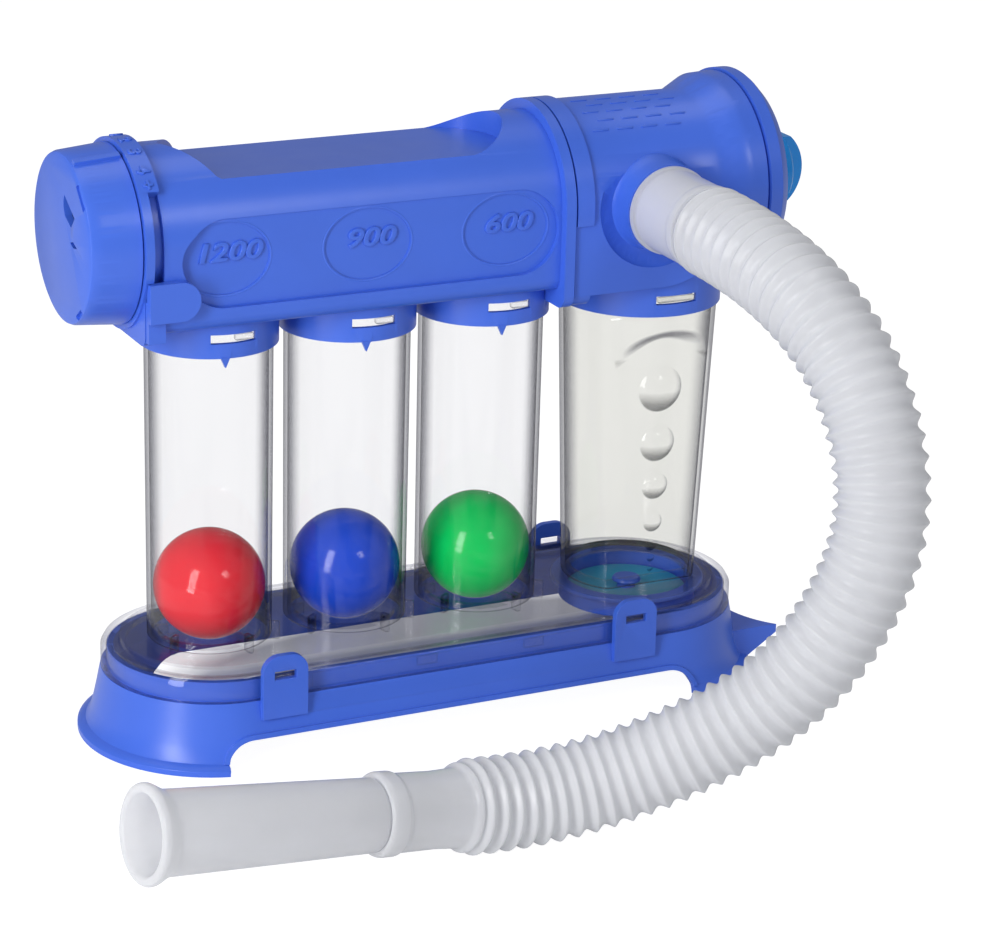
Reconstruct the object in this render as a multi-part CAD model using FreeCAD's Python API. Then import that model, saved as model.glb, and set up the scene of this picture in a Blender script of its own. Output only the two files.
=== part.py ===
# Incentive spirometer: three ball columns and a graded chamber on a clipped foot, joined at the top
# by a two-part air duct, with a breathing hose and mouthpiece.
# Millimetres. +Z up, -Y towards the user, +X from the dial towards the selector knob.
# The row of columns is laid out about its own middle, and every piece is shifted at the end so that
# the origin is at the bottom centre of the device without its hose.
import FreeCAD, Part
import math
import os

V = FreeCAD.Vector

# Row of columns
column_count = 3
column_pitch = 40.6
chamber_offset = 49.6          # last column to the chamber
column_od_top = 35.0
column_od_foot = 34.5
column_wall = 1.2
chamber_od_top = 45.0
chamber_od_foot = 38.8
chamber_neck_step = 0.5        # the part inside its collar is this much smaller in radius
chamber_wall = 1.3
facet_top = 104.0              # crown of the arch-topped flat on the chamber's front
facet_spring = 91.0
facet_half_width = 16.4
facet_depth_top = 16.0         # distance of the flat from the chamber's axis at its crown
facet_depth_foot = 13.7
facet_draft = 2.5
bubble_rise = 0.25             # height of a bubble over its diameter
bubbles = [(87.2, 13.7), (70.8, 11.0), (57.8, 8.2), (46.6, 6.0), (39.6, 3.8), (35.5, 2.5), (32.2, 2.0)]
glue_gap = 0.12                # between a column and the socket that it is glued in

# Balls
ball_diameter = 31.0
ball_wall = 1.0
ball_seat_radius = 6.4         # air hole under each ball
ball_gap = 0.25

# Tray
tray_top = 27.4
tray_plate = 1.5
tray_half_width = 31.3
tray_skirt_bottom = 18.6
tray_skirt_wall = 1.5
rim_shoulder_z = 24.3
rim_lip_z = 25.7
rim_lip_inset = 0.8
rim_channel_half = 28.6        # outer edge of the channel between the lip and the plateau
rim_channel_depth = 0.6
plateau_half_width = 26.0
plateau_draft = 0.6
socket_rib_height = 2.0
socket_rib_wall = 1.7
base_end_inset = 1.3           # end arcs' centres inside the outer columns' axes

# Stand
foot_half_width = 37.9
foot_lip_height = 2.3
flare_step = 2.3               # from the foot's edge in to the flare
skirt_curve = [(0.762, 0.237), (0.548, 0.403), (0.262, 0.699)]  # (share of the way out, share of the way up)
stand_shoulder_half = 31.4
stand_wall = 1.9
upright_wall = 1.8
arch_half_width = 71.7
arch_skew = 1.9                # like the tabs, the arches are turned half a turn about the middle
arch_height = 8.4
arch_corner = 8.0
arch_bead = 1.4
arch_bead_proud = 0.7

# Cradle for the mouthpiece on the right foot
cradle_radius = 28.4
cradle_offset = 24.7           # its axis outside the foot's right edge
cradle_half_width = 19.3
cradle_top = 10.5
cradle_tip = 2.4               # thickness at the tips of its horns
cradle_low = 2.0
cradle_reach = 4.0             # how far the horns' tips stand out beyond the foot's right edge

# Snap tabs
tab_offset = 53.6              # mean distance of a tab from the row's middle
tab_skew = 2.8                 # the tabs are turned half a turn about the middle, not mirrored
tab_width = 13.2
tab_top = 31.6
tab_corner = 5.0
tab_root = 13.5
tab_thickness = 2.0
tab_slot_width = 6.4
tab_slot_height = 2.4
tab_slot_z = 25.9
fit_gap = 0.3

# Ducts
duct_z = 144.2
duct_radius = 23.2
duct_wall = 3.4
duct_left = -86.5
joint_x = 31.4
gasket_thickness = 0.6
duct_floor = 121.6             # underside of the long duct
duct_corner = 4.0
joint_flange_radius = 26.0
joint_flange_drop = 117.0
joint_flange_thickness = 3.0
joint_band = 5.0
joint_throat = 8.0             # length of the narrow bore on the chamber's side
collar_bottom = 112.3
collar_wall = 1.35
collar_rise = 1.2              # how far the collars run up into the duct's floor
column_top = 119.6
seal_thickness = 1.0
stop_thickness = 1.6
stop_opening = 15.4
window_width = 12.7
window_height = 2.5
window_z = 117.6
chamber_window_z = 115.6
pointer_width = 2.6
pointer_drop = 2.6
pointer_offset = -2.5

# Grip hollow, front panel and the ovals on it
hollow_tip = -80.0
hollow_full = -68.6            # where the hollow reaches its full width
hollow_ramp = 12.0
hollow_right = 19.0
hollow_floor = 160.6
hollow_half_width = 16.6
panel_left = -81.0
panel_right = 27.6
panel_top = 151.4
panel_bottom = 127.6
panel_depth = 1.5
oval_width = 25.0
oval_height = 19.5
oval_depth = 0.35
oval_z = 140.6
oval_offset = -3.7             # the ovals stand beside the columns' axes

# Dial end
dial_radius = 23.0
dial_root_radius = 24.1        # at the ring's side
dial_face_x = -106.4
dial_wall = 2.0
dial_edge = 1.4
dial_gap = 0.4
ring_left = -92.2
ring_radius = 25.4
ring_bore_gap = 0.1
ring_cut_start = 52.0          # cut-out in the ring's front, from the top towards the user
ring_cut_angle = 62.0
ring_foot_half = 21.9
ring_foot_low = 118.6
neck_wall = 1.3
sleeve_clearance = 0.08
sleeve_wall = 1.4
sleeve_seat = 10.2              # how far the sleeve's bore runs into the duct
dial_pointer_angle = 20.0      # from the top towards the user
dial_pointer_width = 1.8
dial_pointer_height = 1.0
dial_slots = [(47, 7.4, 20.5), (143, 4.8, 21.0)]  # (angle from the top, length, distance from the axis)
dial_slot_width = 1.4
dial_leaf = [(-3.2, 12.4), (-10.8, 7.9), (-8.0, 4.8), (-3.4, 6.8)]  # air hole: (y, z from the axis)
dial_leaf_bulge = (-2.3, 9.7)
dial_small_hole = [(-12.4, 0.3), (-9.4, 1.3), (-7.0, 0.6), (-9.4, -0.3)]
latch_width = 14.0
latch_height = 10.5
latch_depth = 2.6
latch_z = 131.3

# Chamber housing
chamber_duct_radius = 25.0
chamber_duct_right = 89.5
flare_start = 76.0
flare_run = 7.4
flare_radius = 29.2
chamber_duct_wall = 2.2
cheek_low = 120.2              # underside of the straight-sided lower part of the housing
cheek_inset = 5.5              # right end of that part inside the housing's end
chamber_collar_bottom = 110.8
port_x = 57.1
port_dish_radius = 19.0
port_dish_depth = 1.8
port_neck_radius = 12.6
port_face_y = -31.0
spigot_radius = 10.1
spigot_tip_y = -48.0
spigot_bore = 8.6

# End cap and selector
cap_radius = 29.9
cap_groove = 0.7
cap_plug = 3.0
cap_rim_width = 4.3
cap_face_x = 97.5
cap_wall = 2.0
cap_boss_radius = 7.0
cap_boss_x = 100.5
spindle_radius = 4.0
spindle_clearance = 0.06
spindle_depth = 6.0            # how far it runs into the knob
shutter_radius = 20.3
shutter_thickness = 1.6
vent_radius = 2.2
vent_circle = 16.6
knob_radius = 10.7
knob_disc = 8.2
knob_tip_x = 115.7
knob_grip_half = 9.5
knob_grip_rise = 2.4            # straight part of the grip's sides before its arch
knob_grip_width = 6.5

# Valve under the chamber
seat_floor_z = 19.4
seat_floor = 1.4
seat_radius = 20.0
seat_wall = 1.7
seat_flange_radius = 22.4
stud_radius = 2.6
stud_head_radius = 4.4
stud_head = 1.2
valve_disc_radius = 17.4
valve_disc_thickness = 0.8
valve_lift = 1.5

# Hose
hose_diameter = 25.0
hose_bore = 21.0
cuff_wall = 1.6
mouth_cuff_length = 26.4
mouth_cuff_radius = 10.1
mouth_bead = 0.8
mouth_bead_width = 5.2
mouthpiece_length = 65.0
mouthpiece_insert = 14.0
mouthpiece_root_radius = 8.9    # the part inside the cuff
mouthpiece_step = 0.6
mouthpiece_mouth_radius = 10.8
mouthpiece_lip_radius = 12.7
mouthpiece_lip_length = 3.6
mouthpiece_wall = 1.3
hose_corner_z = 10.3           # the axis runs above this corner of its route, so the hose lies on the table
hose_end_z = 14.5              # from there it lifts its mouthpiece off the table

# Places that follow from the values above
row_half = ((column_count - 1) * column_pitch + chamber_offset) / 2
column_x = [-row_half + i * column_pitch for i in range(column_count)]
chamber_x = row_half
base_end_x = row_half - base_end_inset
ball_radius = ball_diameter / 2
ball_rest_z = tray_top + math.sqrt(ball_radius ** 2 - ball_seat_radius ** 2) + ball_gap
plate_underside = tray_top - tray_plate
rim_underside = rim_lip_z - tray_plate
flare_half_width = foot_half_width - flare_step
cheek_right = chamber_duct_right - cheek_inset
upright_half = tray_half_width - tray_skirt_wall - fit_gap
column_top_radius = column_od_top / 2
collar_bore = column_top_radius + glue_gap
collar_radius = collar_bore + collar_wall
stop_bottom = column_top + seal_thickness
stop_top = stop_bottom + stop_thickness
ball_travel = stop_bottom - ball_radius - ball_rest_z - ball_gap
chamber_neck_radius = chamber_od_top / 2 - chamber_neck_step
chamber_collar_bore = chamber_neck_radius + glue_gap
chamber_collar_radius = chamber_collar_bore + collar_wall
duct_bore = duct_radius - duct_wall
sleeve_bore = 20.5
sleeve_bore_end = ring_left + sleeve_seat
housing_left = joint_x + gasket_thickness
tab_x = [tab_offset * s - tab_skew for s in (-1, 1)]
port_axis = V(port_x, 0, duct_z)

# The hose's route, in the frame of the row: out of its port, down in a wide bend, along the table.
hose_route = [
    V(port_x, -54, duct_z),
    V(port_x, -90, duct_z),
    V(64, -123, 124),
    V(65.5, -138, 89),
    V(53, -132.5, 53),
    V(31, -119, 28),
    V(-9.5, -103, hose_corner_z),
    V(-38, -106, hose_end_z),
]


def box(x0, x1, y0, y1, z0, z1):
    return Part.makeBox(x1 - x0, y1 - y0, z1 - z0, V(x0, y0, z0))


def rod(radius, start, end):
    axis = end - start
    return Part.makeCylinder(radius, axis.Length, start, axis)


def polygon_face(points):
    return Part.Face(Part.makePolygon(points + [points[0]]))


def turned(profile, origin, axis, side, angle=360):
    """Revolve a profile of (distance along the axis, radius) pairs about an axis."""
    points = [origin + axis * along + side * radius for along, radius in profile]
    return polygon_face(points).revolve(origin, axis, angle)


def turned_z(profile, x=0.0):
    return turned(profile, V(x, 0, 0), V(0, 0, 1), V(1, 0, 0))


def turned_x(profile):
    return turned(profile, V(0, 0, duct_z), V(1, 0, 0), V(0, 0, 1))


def stadium(half_width, z):
    """Closed outline of two straights and two half circles round the ends of the row."""
    e = base_end_x
    w = half_width
    return Part.Wire([
        Part.makeLine(V(-e, -w, z), V(e, -w, z)),
        Part.Arc(V(e, -w, z), V(e + w, 0, z), V(e, w, z)).toShape(),
        Part.makeLine(V(e, w, z), V(-e, w, z)),
        Part.Arc(V(-e, w, z), V(-e - w, 0, z), V(-e, -w, z)).toShape(),
    ])


def stadium_solid(profile):
    """Solid through stadium outlines given as (half width, height) pairs, from the bottom up."""
    return Part.makeLoft([stadium(w, z) for w, z in profile], True, True)


def duct_face(radius, low, corner, x):
    """Cross-section of the duct at x: half round on top, straight sides, rounded lower corners."""
    c = corner
    k = c * (1 - math.sqrt(0.5))
    edges = [
        Part.Arc(V(x, -radius, duct_z), V(x, 0, duct_z + radius), V(x, radius, duct_z)).toShape(),
        Part.makeLine(V(x, radius, duct_z), V(x, radius, low + c)),
        Part.Arc(V(x, radius, low + c), V(x, radius - k, low + k), V(x, radius - c, low)).toShape(),
        Part.makeLine(V(x, radius - c, low), V(x, -radius + c, low)),
        Part.Arc(V(x, -radius + c, low), V(x, -radius + k, low + k), V(x, -radius, low + c)).toShape(),
        Part.makeLine(V(x, -radius, low + c), V(x, -radius, duct_z)),
    ]
    return Part.Face(Part.Wire(edges))


def duct_solid(radius, low, corner, x0, x1):
    return duct_face(radius, low, corner, x0).extrude(V(x1 - x0, 0, 0))


def rounded_top(half, low, high, corner, y):
    """Face in the XZ plane: straight sides, flat top, quarter-round upper corners."""
    k = corner * (1 - math.sqrt(0.5))
    spring = high - corner
    flat = half - corner
    return Part.Face(Part.Wire([
        Part.makeLine(V(-half, y, low), V(-half, y, spring)),
        Part.Arc(V(-half, y, spring), V(-half + k, y, high - k), V(-flat, y, high)).toShape(),
        Part.makeLine(V(-flat, y, high), V(flat, y, high)),
        Part.Arc(V(flat, y, high), V(half - k, y, high - k), V(half, y, spring)).toShape(),
        Part.makeLine(V(half, y, spring), V(half, y, low)),
        Part.makeLine(V(half, y, low), V(-half, y, low)),
    ]))


def make_tab(x, side):
    """Round-cornered plate that stands on the slope of the stand, with its slot."""
    inner = side * (stand_shoulder_half + fit_gap / 2)
    plate = rounded_top(tab_width / 2, tab_root, tab_top, tab_corner, inner)
    plate = plate.extrude(V(0, side * tab_thickness, 0))
    plate.translate(V(x, 0, 0))
    y0, y1 = sorted((inner - side * 3, inner + side * 3))
    half = tab_slot_width / 2
    low = tab_slot_z - tab_slot_height / 2
    return plate.cut(box(x - half, x + half, y0, y1, low, low + tab_slot_height))


def skirt_profile():
    """Outside of the flared skirt as (half width, height) pairs, from the flare up to the shoulder."""
    spread = flare_half_width - stand_shoulder_half
    curve = [(stand_shoulder_half + spread * out, tray_skirt_bottom * up) for out, up in skirt_curve]
    return [(flare_half_width, foot_lip_height + 0.6)] + curve + [(stand_shoulder_half, tray_skirt_bottom)]


def make_stand():
    skirt = skirt_profile()
    outer_profile = [
        (foot_half_width, 0), (foot_half_width, foot_lip_height * 0.7),
        (foot_half_width - 0.7, foot_lip_height),
    ] + skirt
    inner_profile = [(w - stand_wall, z) for w, z in skirt]
    inner_profile = [(flare_half_width - stand_wall + 0.6, -1.0)] + inner_profile
    inner_profile[-1] = (stand_shoulder_half - stand_wall - 0.4, tray_skirt_bottom - stand_wall)
    shell = stadium_solid(outer_profile)
    upright = stadium_solid([(upright_half, tray_skirt_bottom - 0.5), (upright_half, rim_underside)])
    shell = shell.fuse(upright)
    shell = shell.cut(stadium_solid(inner_profile))
    bore = upright_half - upright_wall
    shell = shell.cut(stadium_solid([(bore, tray_skirt_bottom - 2 * stand_wall), (bore, plate_underside)]))
    proud = stadium_solid([(w + arch_bead_proud, z) for w, z in skirt])
    band = proud.cut(stadium_solid([(w - stand_wall / 2, z) for w, z in skirt]))
    for side in (-1, 1):
        shell = shell.fuse(band.common(arch_room(side, arch_bead)))
    for side in (-1, 1):
        shell = shell.cut(arch_room(side, 0))
    for side in (-1, 1):
        for x in tab_x:
            shell = shell.fuse(make_tab(-side * x, side))
    return shell.fuse(hose_clip()).removeSplitter()


def arch_room(side, grow):
    """Prism through the front or the rear wall under the arch, or a larger one round its bead."""
    reach = foot_half_width + arch_bead
    face = rounded_top(arch_half_width + grow, -arch_bead, arch_height + grow, arch_corner + grow, 0)
    room = face.extrude(V(0, side * reach, 0))
    room.translate(V(side * arch_skew, 0, 0))
    return room


def hose_clip():
    """Cradle of two horns on the right foot, hollowed by an upright cylinder, for the mouthpiece."""
    edge = base_end_x + foot_half_width
    half = cradle_half_width
    tip_x = edge + cradle_reach
    root_x = base_end_x + stand_shoulder_half * math.sqrt(0.5)
    block = box(root_x, tip_x, -half, half, 0, cradle_top)
    axis_x = edge + cradle_offset
    block = block.cut(rod(cradle_radius, V(axis_x, 0, -1), V(axis_x, 0, cradle_top + 1)))
    foot_x = base_end_x + math.sqrt(foot_half_width ** 2 - half ** 2)
    under = polygon_face([V(root_x - 1, -half, cradle_low), V(foot_x, -half, cradle_low),
                          V(tip_x, -half, cradle_top - cradle_tip), V(tip_x + 1, -half, -1),
                          V(root_x - 1, -half, -1)])
    block = block.cut(under.extrude(V(0, 2 * half, 0)))
    inside = [(w - stand_wall / 2, z) for w, z in skirt_profile()]
    return block.cut(stadium_solid([(inside[0][0], -1)] + inside))


def make_tray():
    w = tray_half_width
    body = stadium_solid([(w, tray_skirt_bottom), (w, rim_shoulder_z), (w - rim_lip_inset, rim_lip_z)])
    channel_z = rim_lip_z - rim_channel_depth
    body = body.cut(stadium_solid([(rim_channel_half, channel_z), (rim_channel_half, rim_lip_z + 1)]))
    body = body.fuse(stadium_solid([(plateau_half_width + plateau_draft, rim_underside),
                                    (plateau_half_width, tray_top)]))
    inside = w - tray_skirt_wall
    body = body.cut(stadium_solid([(inside, tray_skirt_bottom - 1), (inside, rim_underside)]))
    under = plateau_half_width - tray_plate
    body = body.cut(stadium_solid([(under, rim_underside - 1), (under, plate_underside)]))
    panel = stadium_solid([(w + 1, 19.9), (w + 1, rim_shoulder_z - 0.2)])
    panel = panel.cut(stadium_solid([(w - 0.5, 19.0), (w - 0.5, rim_shoulder_z + 1)]))
    gap = tab_width / 2 + 2.2
    for side in (-1, 1):
        ends = sorted(-side * x for x in tab_x)
        y0, y1 = sorted((0, side * (w + 3)))
        body = body.cut(panel.common(box(ends[0] + gap, ends[1] - gap, y0, y1, 0, 40)))
        for x in ends:
            body = body.fuse(tray_lug(x, side))
        for x in (-side * 19.3, side * 13.5):
            y2, y3 = sorted((side * (w - 0.3), side * (w + 0.9)))
            body = body.fuse(box(x - 3.0, x + 3.0, y2, y3, 21.6, rim_shoulder_z))
    for x in column_x:
        body = body.fuse(column_socket(x))
    rib_outer = chamber_od_foot / 2 - chamber_wall - glue_gap
    rib_flat = facet_depth_foot - chamber_wall - glue_gap
    rib_top = tray_top + socket_rib_height
    body = body.fuse(flat_fronted(rib_outer, rib_flat, tray_top - 0.5, rib_top))
    for x in column_x:
        body = body.cut(rod(ball_seat_radius, V(x, 0, plate_underside - 1), V(x, 0, tray_top + 1)))
    body = body.cut(flat_fronted(rib_outer - 1.0, rib_flat - 1.0, plate_underside - 1, rib_top + 1))
    return body.removeSplitter()


def flat_fronted(radius, flat, low, high):
    """Upright cylinder on the chamber's axis with a flat on its front."""
    full = rod(radius, V(chamber_x, 0, low), V(chamber_x, 0, high))
    reach = radius + 1
    return full.cut(box(chamber_x - reach, chamber_x + reach, -reach, -flat, low - 1, high + 1))


def tray_lug(x, side):
    """Snap lug that shows in a tab's slot."""
    half = tab_slot_width / 2 - 0.4
    y0, y1 = sorted((side * (rim_channel_half + 0.2), side * (stand_shoulder_half + tab_thickness * 0.8)))
    return box(x - half, x + half, y0, y1, tab_slot_z - 0.9, tab_slot_z + 0.5)


def column_socket(x):
    """Locating rib inside a column's foot, and three short fins on it that centre the ball."""
    outer = column_od_foot / 2 - column_wall - glue_gap
    inner = outer - socket_rib_wall
    low = tray_top - 0.5
    top = tray_top + socket_rib_height
    socket = turned_z([(low, inner), (low, outer), (top, outer), (top, inner)], x)
    for k in range(3):
        fin = box(x + inner - 2.6, x + outer - 0.3, -0.7, 0.7, low, top + 1.2)
        fin.rotate(V(x, 0, 0), V(0, 0, 1), -70 + 120 * k)
        socket = socket.fuse(fin)
    return socket


def make_column(x):
    foot = column_od_foot / 2
    top = column_top_radius
    t = column_wall
    z = tray_top
    tube = turned_z([(z, foot - t), (z, foot - 0.9), (z + 0.9, foot), (column_top, top),
                     (column_top, top - t)], x)
    lug = box(x + 0.6, x + window_width / 2 - 0.5, -collar_radius + 0.35, -top + 0.3,
              window_z - 0.8, window_z + 0.8)
    return tube.fuse(lug).removeSplitter()


def facet_distance(z):
    """Distance of the chamber's flat front from its axis."""
    rise = (z - tray_top) / (facet_top - tray_top)
    return facet_depth_foot + (facet_depth_top - facet_depth_foot) * rise


def facet_room(grow):
    """Space in front of the flat: an arch-topped prism with draft, cut off by the tilted flat."""
    wires = []
    for y, wide in ((-30.0, facet_draft + grow), (-10.0, grow)):
        half = facet_half_width + wide
        low, spring, top = tray_top - 20, facet_spring, facet_top + wide
        wires.append(Part.Wire([
            Part.makeLine(V(-half, y, low), V(half, y, low)),
            Part.makeLine(V(half, y, low), V(half, y, spring)),
            Part.Arc(V(half, y, spring), V(0, y, top), V(-half, y, spring)).toShape(),
            Part.makeLine(V(-half, y, spring), V(-half, y, low)),
        ]))
    prism = Part.makeLoft(wires, True, True)
    low, high = tray_top - 20, facet_top + 20
    front = polygon_face([V(-30, -facet_distance(low) + grow, low),
                          V(-30, -facet_distance(high) + grow, high),
                          V(-30, -60, high), V(-30, -60, low)]).extrude(V(60, 0, 0))
    room = prism.common(front)
    room.translate(V(chamber_x, 0, 0))
    return room


def make_bubble(z, diameter):
    rise = bubble_rise * diameter
    radius = (diameter ** 2 / 4 + rise ** 2) / (2 * rise)
    y = -facet_distance(z)
    ball = Part.makeSphere(radius, V(chamber_x, y + radius - rise, z))
    return ball.common(box(chamber_x - 10, chamber_x + 10, y - rise - 1, y + 0.5, z - 10, z + 10))


def make_chamber():
    foot = chamber_od_foot / 2
    top = chamber_od_top / 2
    neck = chamber_neck_radius
    t = chamber_wall
    z = tray_top
    shoulder = chamber_collar_bottom - 0.8
    outside = turned_z([(z, 0), (z, foot - 0.9), (z + 0.9, foot), (shoulder, top), (shoulder + 0.8, neck),
                        (column_top, neck), (column_top, 0)], chamber_x)
    inside = turned_z([(z - 1, 0), (z - 1, foot - t), (z, foot - t), (shoulder, neck - t),
                       (column_top + 1, neck - t), (column_top + 1, 0)], chamber_x)
    tube = outside.cut(facet_room(0)).cut(inside.cut(facet_room(t)))
    for height, diameter in bubbles:
        tube = tube.fuse(make_bubble(height, diameter))
    half = window_width / 2 - 0.6
    lug = box(chamber_x - half, chamber_x + half, -chamber_collar_radius + 0.35, -neck + 0.3,
              chamber_window_z - 0.8, chamber_window_z + 0.8)
    return tube.fuse(lug).removeSplitter()


def make_ball(x):
    centre = V(x, 0, ball_rest_z)
    return Part.makeSphere(ball_radius, centre).cut(Part.makeSphere(ball_radius - ball_wall, centre))


def make_stop(x):
    """Ring with two crossing bars that stops the ball but lets air through."""
    outer = collar_bore - 0.1
    ring = turned_z([(stop_bottom, stop_opening - 1.2), (stop_bottom, outer), (stop_top, outer),
                     (stop_top, stop_opening - 1.2)], x)
    ring = ring.fuse(rod(3.0, V(x, 0, stop_bottom), V(x, 0, stop_top)))
    for k in range(2):
        bar = box(x - stop_opening, x + stop_opening, -0.8, 0.8, stop_bottom, stop_top)
        bar.rotate(V(x, 0, 0), V(0, 0, 1), 90 * k)
        ring = ring.fuse(bar)
    return ring.removeSplitter()


def make_seal(x, outer, wall):
    return turned_z([(column_top, outer - wall), (column_top, outer), (stop_bottom, outer),
                     (stop_bottom, outer - wall)], x)


def collar(x, radius, bottom, top):
    return rod(radius, V(x, 0, bottom), V(x, 0, top))


def collar_cuts(x, bore, bottom, opening, floor_top, window):
    """Socket for a column, the air hole above it and the window over its lug."""
    cuts = rod(bore, V(x, 0, bottom - 1), V(x, 0, stop_top))
    cuts = cuts.fuse(rod(opening, V(x, 0, stop_top - 0.1), V(x, 0, floor_top)))
    half = window_width / 2
    low = window - window_height / 2
    return cuts.fuse(box(x - half, x + half, -bore - 6, -bore + 2, low, low + window_height))


def pointer(x):
    """Small arrow under a collar's front."""
    x += pointer_offset
    tip = V(x, -collar_radius, collar_bottom - pointer_drop)
    half = pointer_width / 2
    face = polygon_face([V(x - half, -collar_radius, collar_bottom + 0.3), tip,
                         V(x + half, -collar_radius, collar_bottom + 0.3)])
    return face.extrude(V(0, collar_wall - 0.2, 0))


def grip_hollow():
    """Trough along the top of the duct: its floor runs out in a narrow left end, the right end is round."""
    w = hollow_half_width
    right = hollow_right - w
    z = hollow_floor
    edges = [
        Part.makeLine(V(hollow_tip, 0, z), V(hollow_full, -w, z)),
        Part.makeLine(V(hollow_full, -w, z), V(right, -w, z)),
        Part.Arc(V(right, -w, z), V(right + w, 0, z), V(right, w, z)).toShape(),
        Part.makeLine(V(right, w, z), V(hollow_full, w, z)),
        Part.makeLine(V(hollow_full, w, z), V(hollow_tip, 0, z)),
    ]
    trough = Part.Face(Part.Wire(edges)).extrude(V(0, 0, 20))
    crown = duct_z + duct_radius
    ramp = polygon_face([V(hollow_tip - 1, -w, z - 1), V(hollow_tip - 1, -w, crown), V(hollow_tip, -w, crown),
                         V(hollow_tip + hollow_ramp, -w, z), V(hollow_tip + hollow_ramp, -w, z - 1)])
    return trough.cut(ramp.extrude(V(0, 2 * w, 0)))


def panel_cut():
    """Flat-bottomed stadium pocket on the front of the duct."""
    r = (panel_top - panel_bottom) / 2
    mid = (panel_top + panel_bottom) / 2
    y = -duct_radius - 5
    x0, x1 = panel_left + r, panel_right - r
    edges = [
        Part.makeLine(V(x0, y, panel_top), V(x1, y, panel_top)),
        Part.Arc(V(x1, y, panel_top), V(panel_right, y, mid), V(x1, y, panel_bottom)).toShape(),
        Part.makeLine(V(x1, y, panel_bottom), V(x0, y, panel_bottom)),
        Part.Arc(V(x0, y, panel_bottom), V(panel_left, y, mid), V(x0, y, panel_top)).toShape(),
    ]
    return Part.Face(Part.Wire(edges)).extrude(V(0, 5 + panel_depth, 0))


def oval_cut(x):
    oval = Part.Ellipse(V(0, 0, 0), oval_width / 2, oval_height / 2).toShape()
    face = Part.Face(Part.Wire([oval]))
    face.rotate(V(0, 0, 0), V(1, 0, 0), 90)
    face.translate(V(x + oval_offset, -duct_radius + panel_depth + oval_depth, oval_z))
    return face.extrude(V(0, -4, 0))


def make_manifold():
    body = duct_solid(duct_radius, duct_floor, duct_corner, duct_left, joint_x)
    flange = duct_solid(joint_flange_radius, joint_flange_drop, duct_corner,
                        joint_x - joint_flange_thickness, joint_x)
    body = body.fuse(flange)
    neck = sleeve_bore + neck_wall
    body = body.fuse(rod(neck, V(ring_left, 0, duct_z), V(duct_left + 1, 0, duct_z)))
    for x in column_x:
        body = body.fuse(collar(x, collar_radius, collar_bottom, duct_floor + collar_rise))
        body = body.fuse(pointer(x))
    inner_low = stop_top + 1.6
    wide = duct_solid(duct_bore, inner_low, 2.0, sleeve_bore_end - 0.1, joint_x + 1)
    roof = hollow_floor - duct_wall
    wide = wide.cut(box(hollow_tip - 2, hollow_right + 3, -40, 40, roof, roof + 40))
    body = body.cut(wide)
    body = body.cut(rod(sleeve_bore, V(ring_left - 1, 0, duct_z), V(sleeve_bore_end, 0, duct_z)))
    body = body.cut(grip_hollow()).cut(panel_cut())
    for x in column_x:
        body = body.cut(collar_cuts(x, collar_bore, collar_bottom, stop_opening, inner_low + 0.5, window_z))
        body = body.cut(oval_cut(x))
    return body.removeSplitter()


def make_scale_ring():
    """Ring with a front cut-out under its numbers, and a foot that stands beside the first collar."""
    neck = sleeve_bore + neck_wall + ring_bore_gap
    right = duct_left - 0.1
    ring = turned_x([(ring_left, neck), (ring_left, ring_radius), (right, ring_radius), (right, neck)])
    foot = box(ring_left + 0.7, right, -ring_foot_half, ring_foot_half, ring_foot_low, duct_z - 12)
    foot = foot.makeFillet(3.0, [e for e in foot.Edges if abs(e.CenterOfMass.z - ring_foot_low) < 0.01 and
                                 abs(e.tangentAt(e.FirstParameter).x) > 0.9])
    foot = foot.cut(rod(neck, V(ring_left - 5, 0, duct_z), V(right + 5, 0, duct_z)))
    ring = ring.fuse(foot)
    cut = turned(
        [(ring_left + 2.4, neck - 1), (ring_left + 2.4, ring_radius + 2), (right + 1, ring_radius + 2),
         (right + 1, neck - 1)],
        V(0, 0, duct_z), V(1, 0, 0), V(0, 0, 1), ring_cut_angle)
    cut.rotate(V(0, 0, duct_z), V(1, 0, 0), ring_cut_start)
    half = latch_height / 2 + 0.1
    pocket = box(ring_left + 0.7, right + 1, -2 * ring_radius, -duct_radius, latch_z - half, latch_z + half)
    return ring.cut(cut).cut(pocket).removeSplitter()


def make_latch():
    """D-shaped block on the duct's front, with a tongue that fills the step down to the ring's foot."""
    r = latch_height / 2
    y = -duct_radius - 0.1
    x0 = ring_left + 0.8
    x1 = x0 + latch_width - r
    z0, z1 = latch_z - r, latch_z + r
    edges = [
        Part.makeLine(V(x0, y, z0), V(x1, y, z0)),
        Part.Arc(V(x1, y, z0), V(x1 + r, y, latch_z), V(x1, y, z1)).toShape(),
        Part.makeLine(V(x1, y, z1), V(x0, y, z1)),
        Part.makeLine(V(x0, y, z1), V(x0, y, z0)),
    ]
    block = Part.Face(Part.Wire(edges)).extrude(V(0, -latch_depth, 0))
    tongue = box(x0 + 0.1, duct_left - 0.1, y - 0.9, -ring_foot_half - 0.1, 120.2, latch_z)
    return block.fuse(tongue).removeSplitter()


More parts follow.
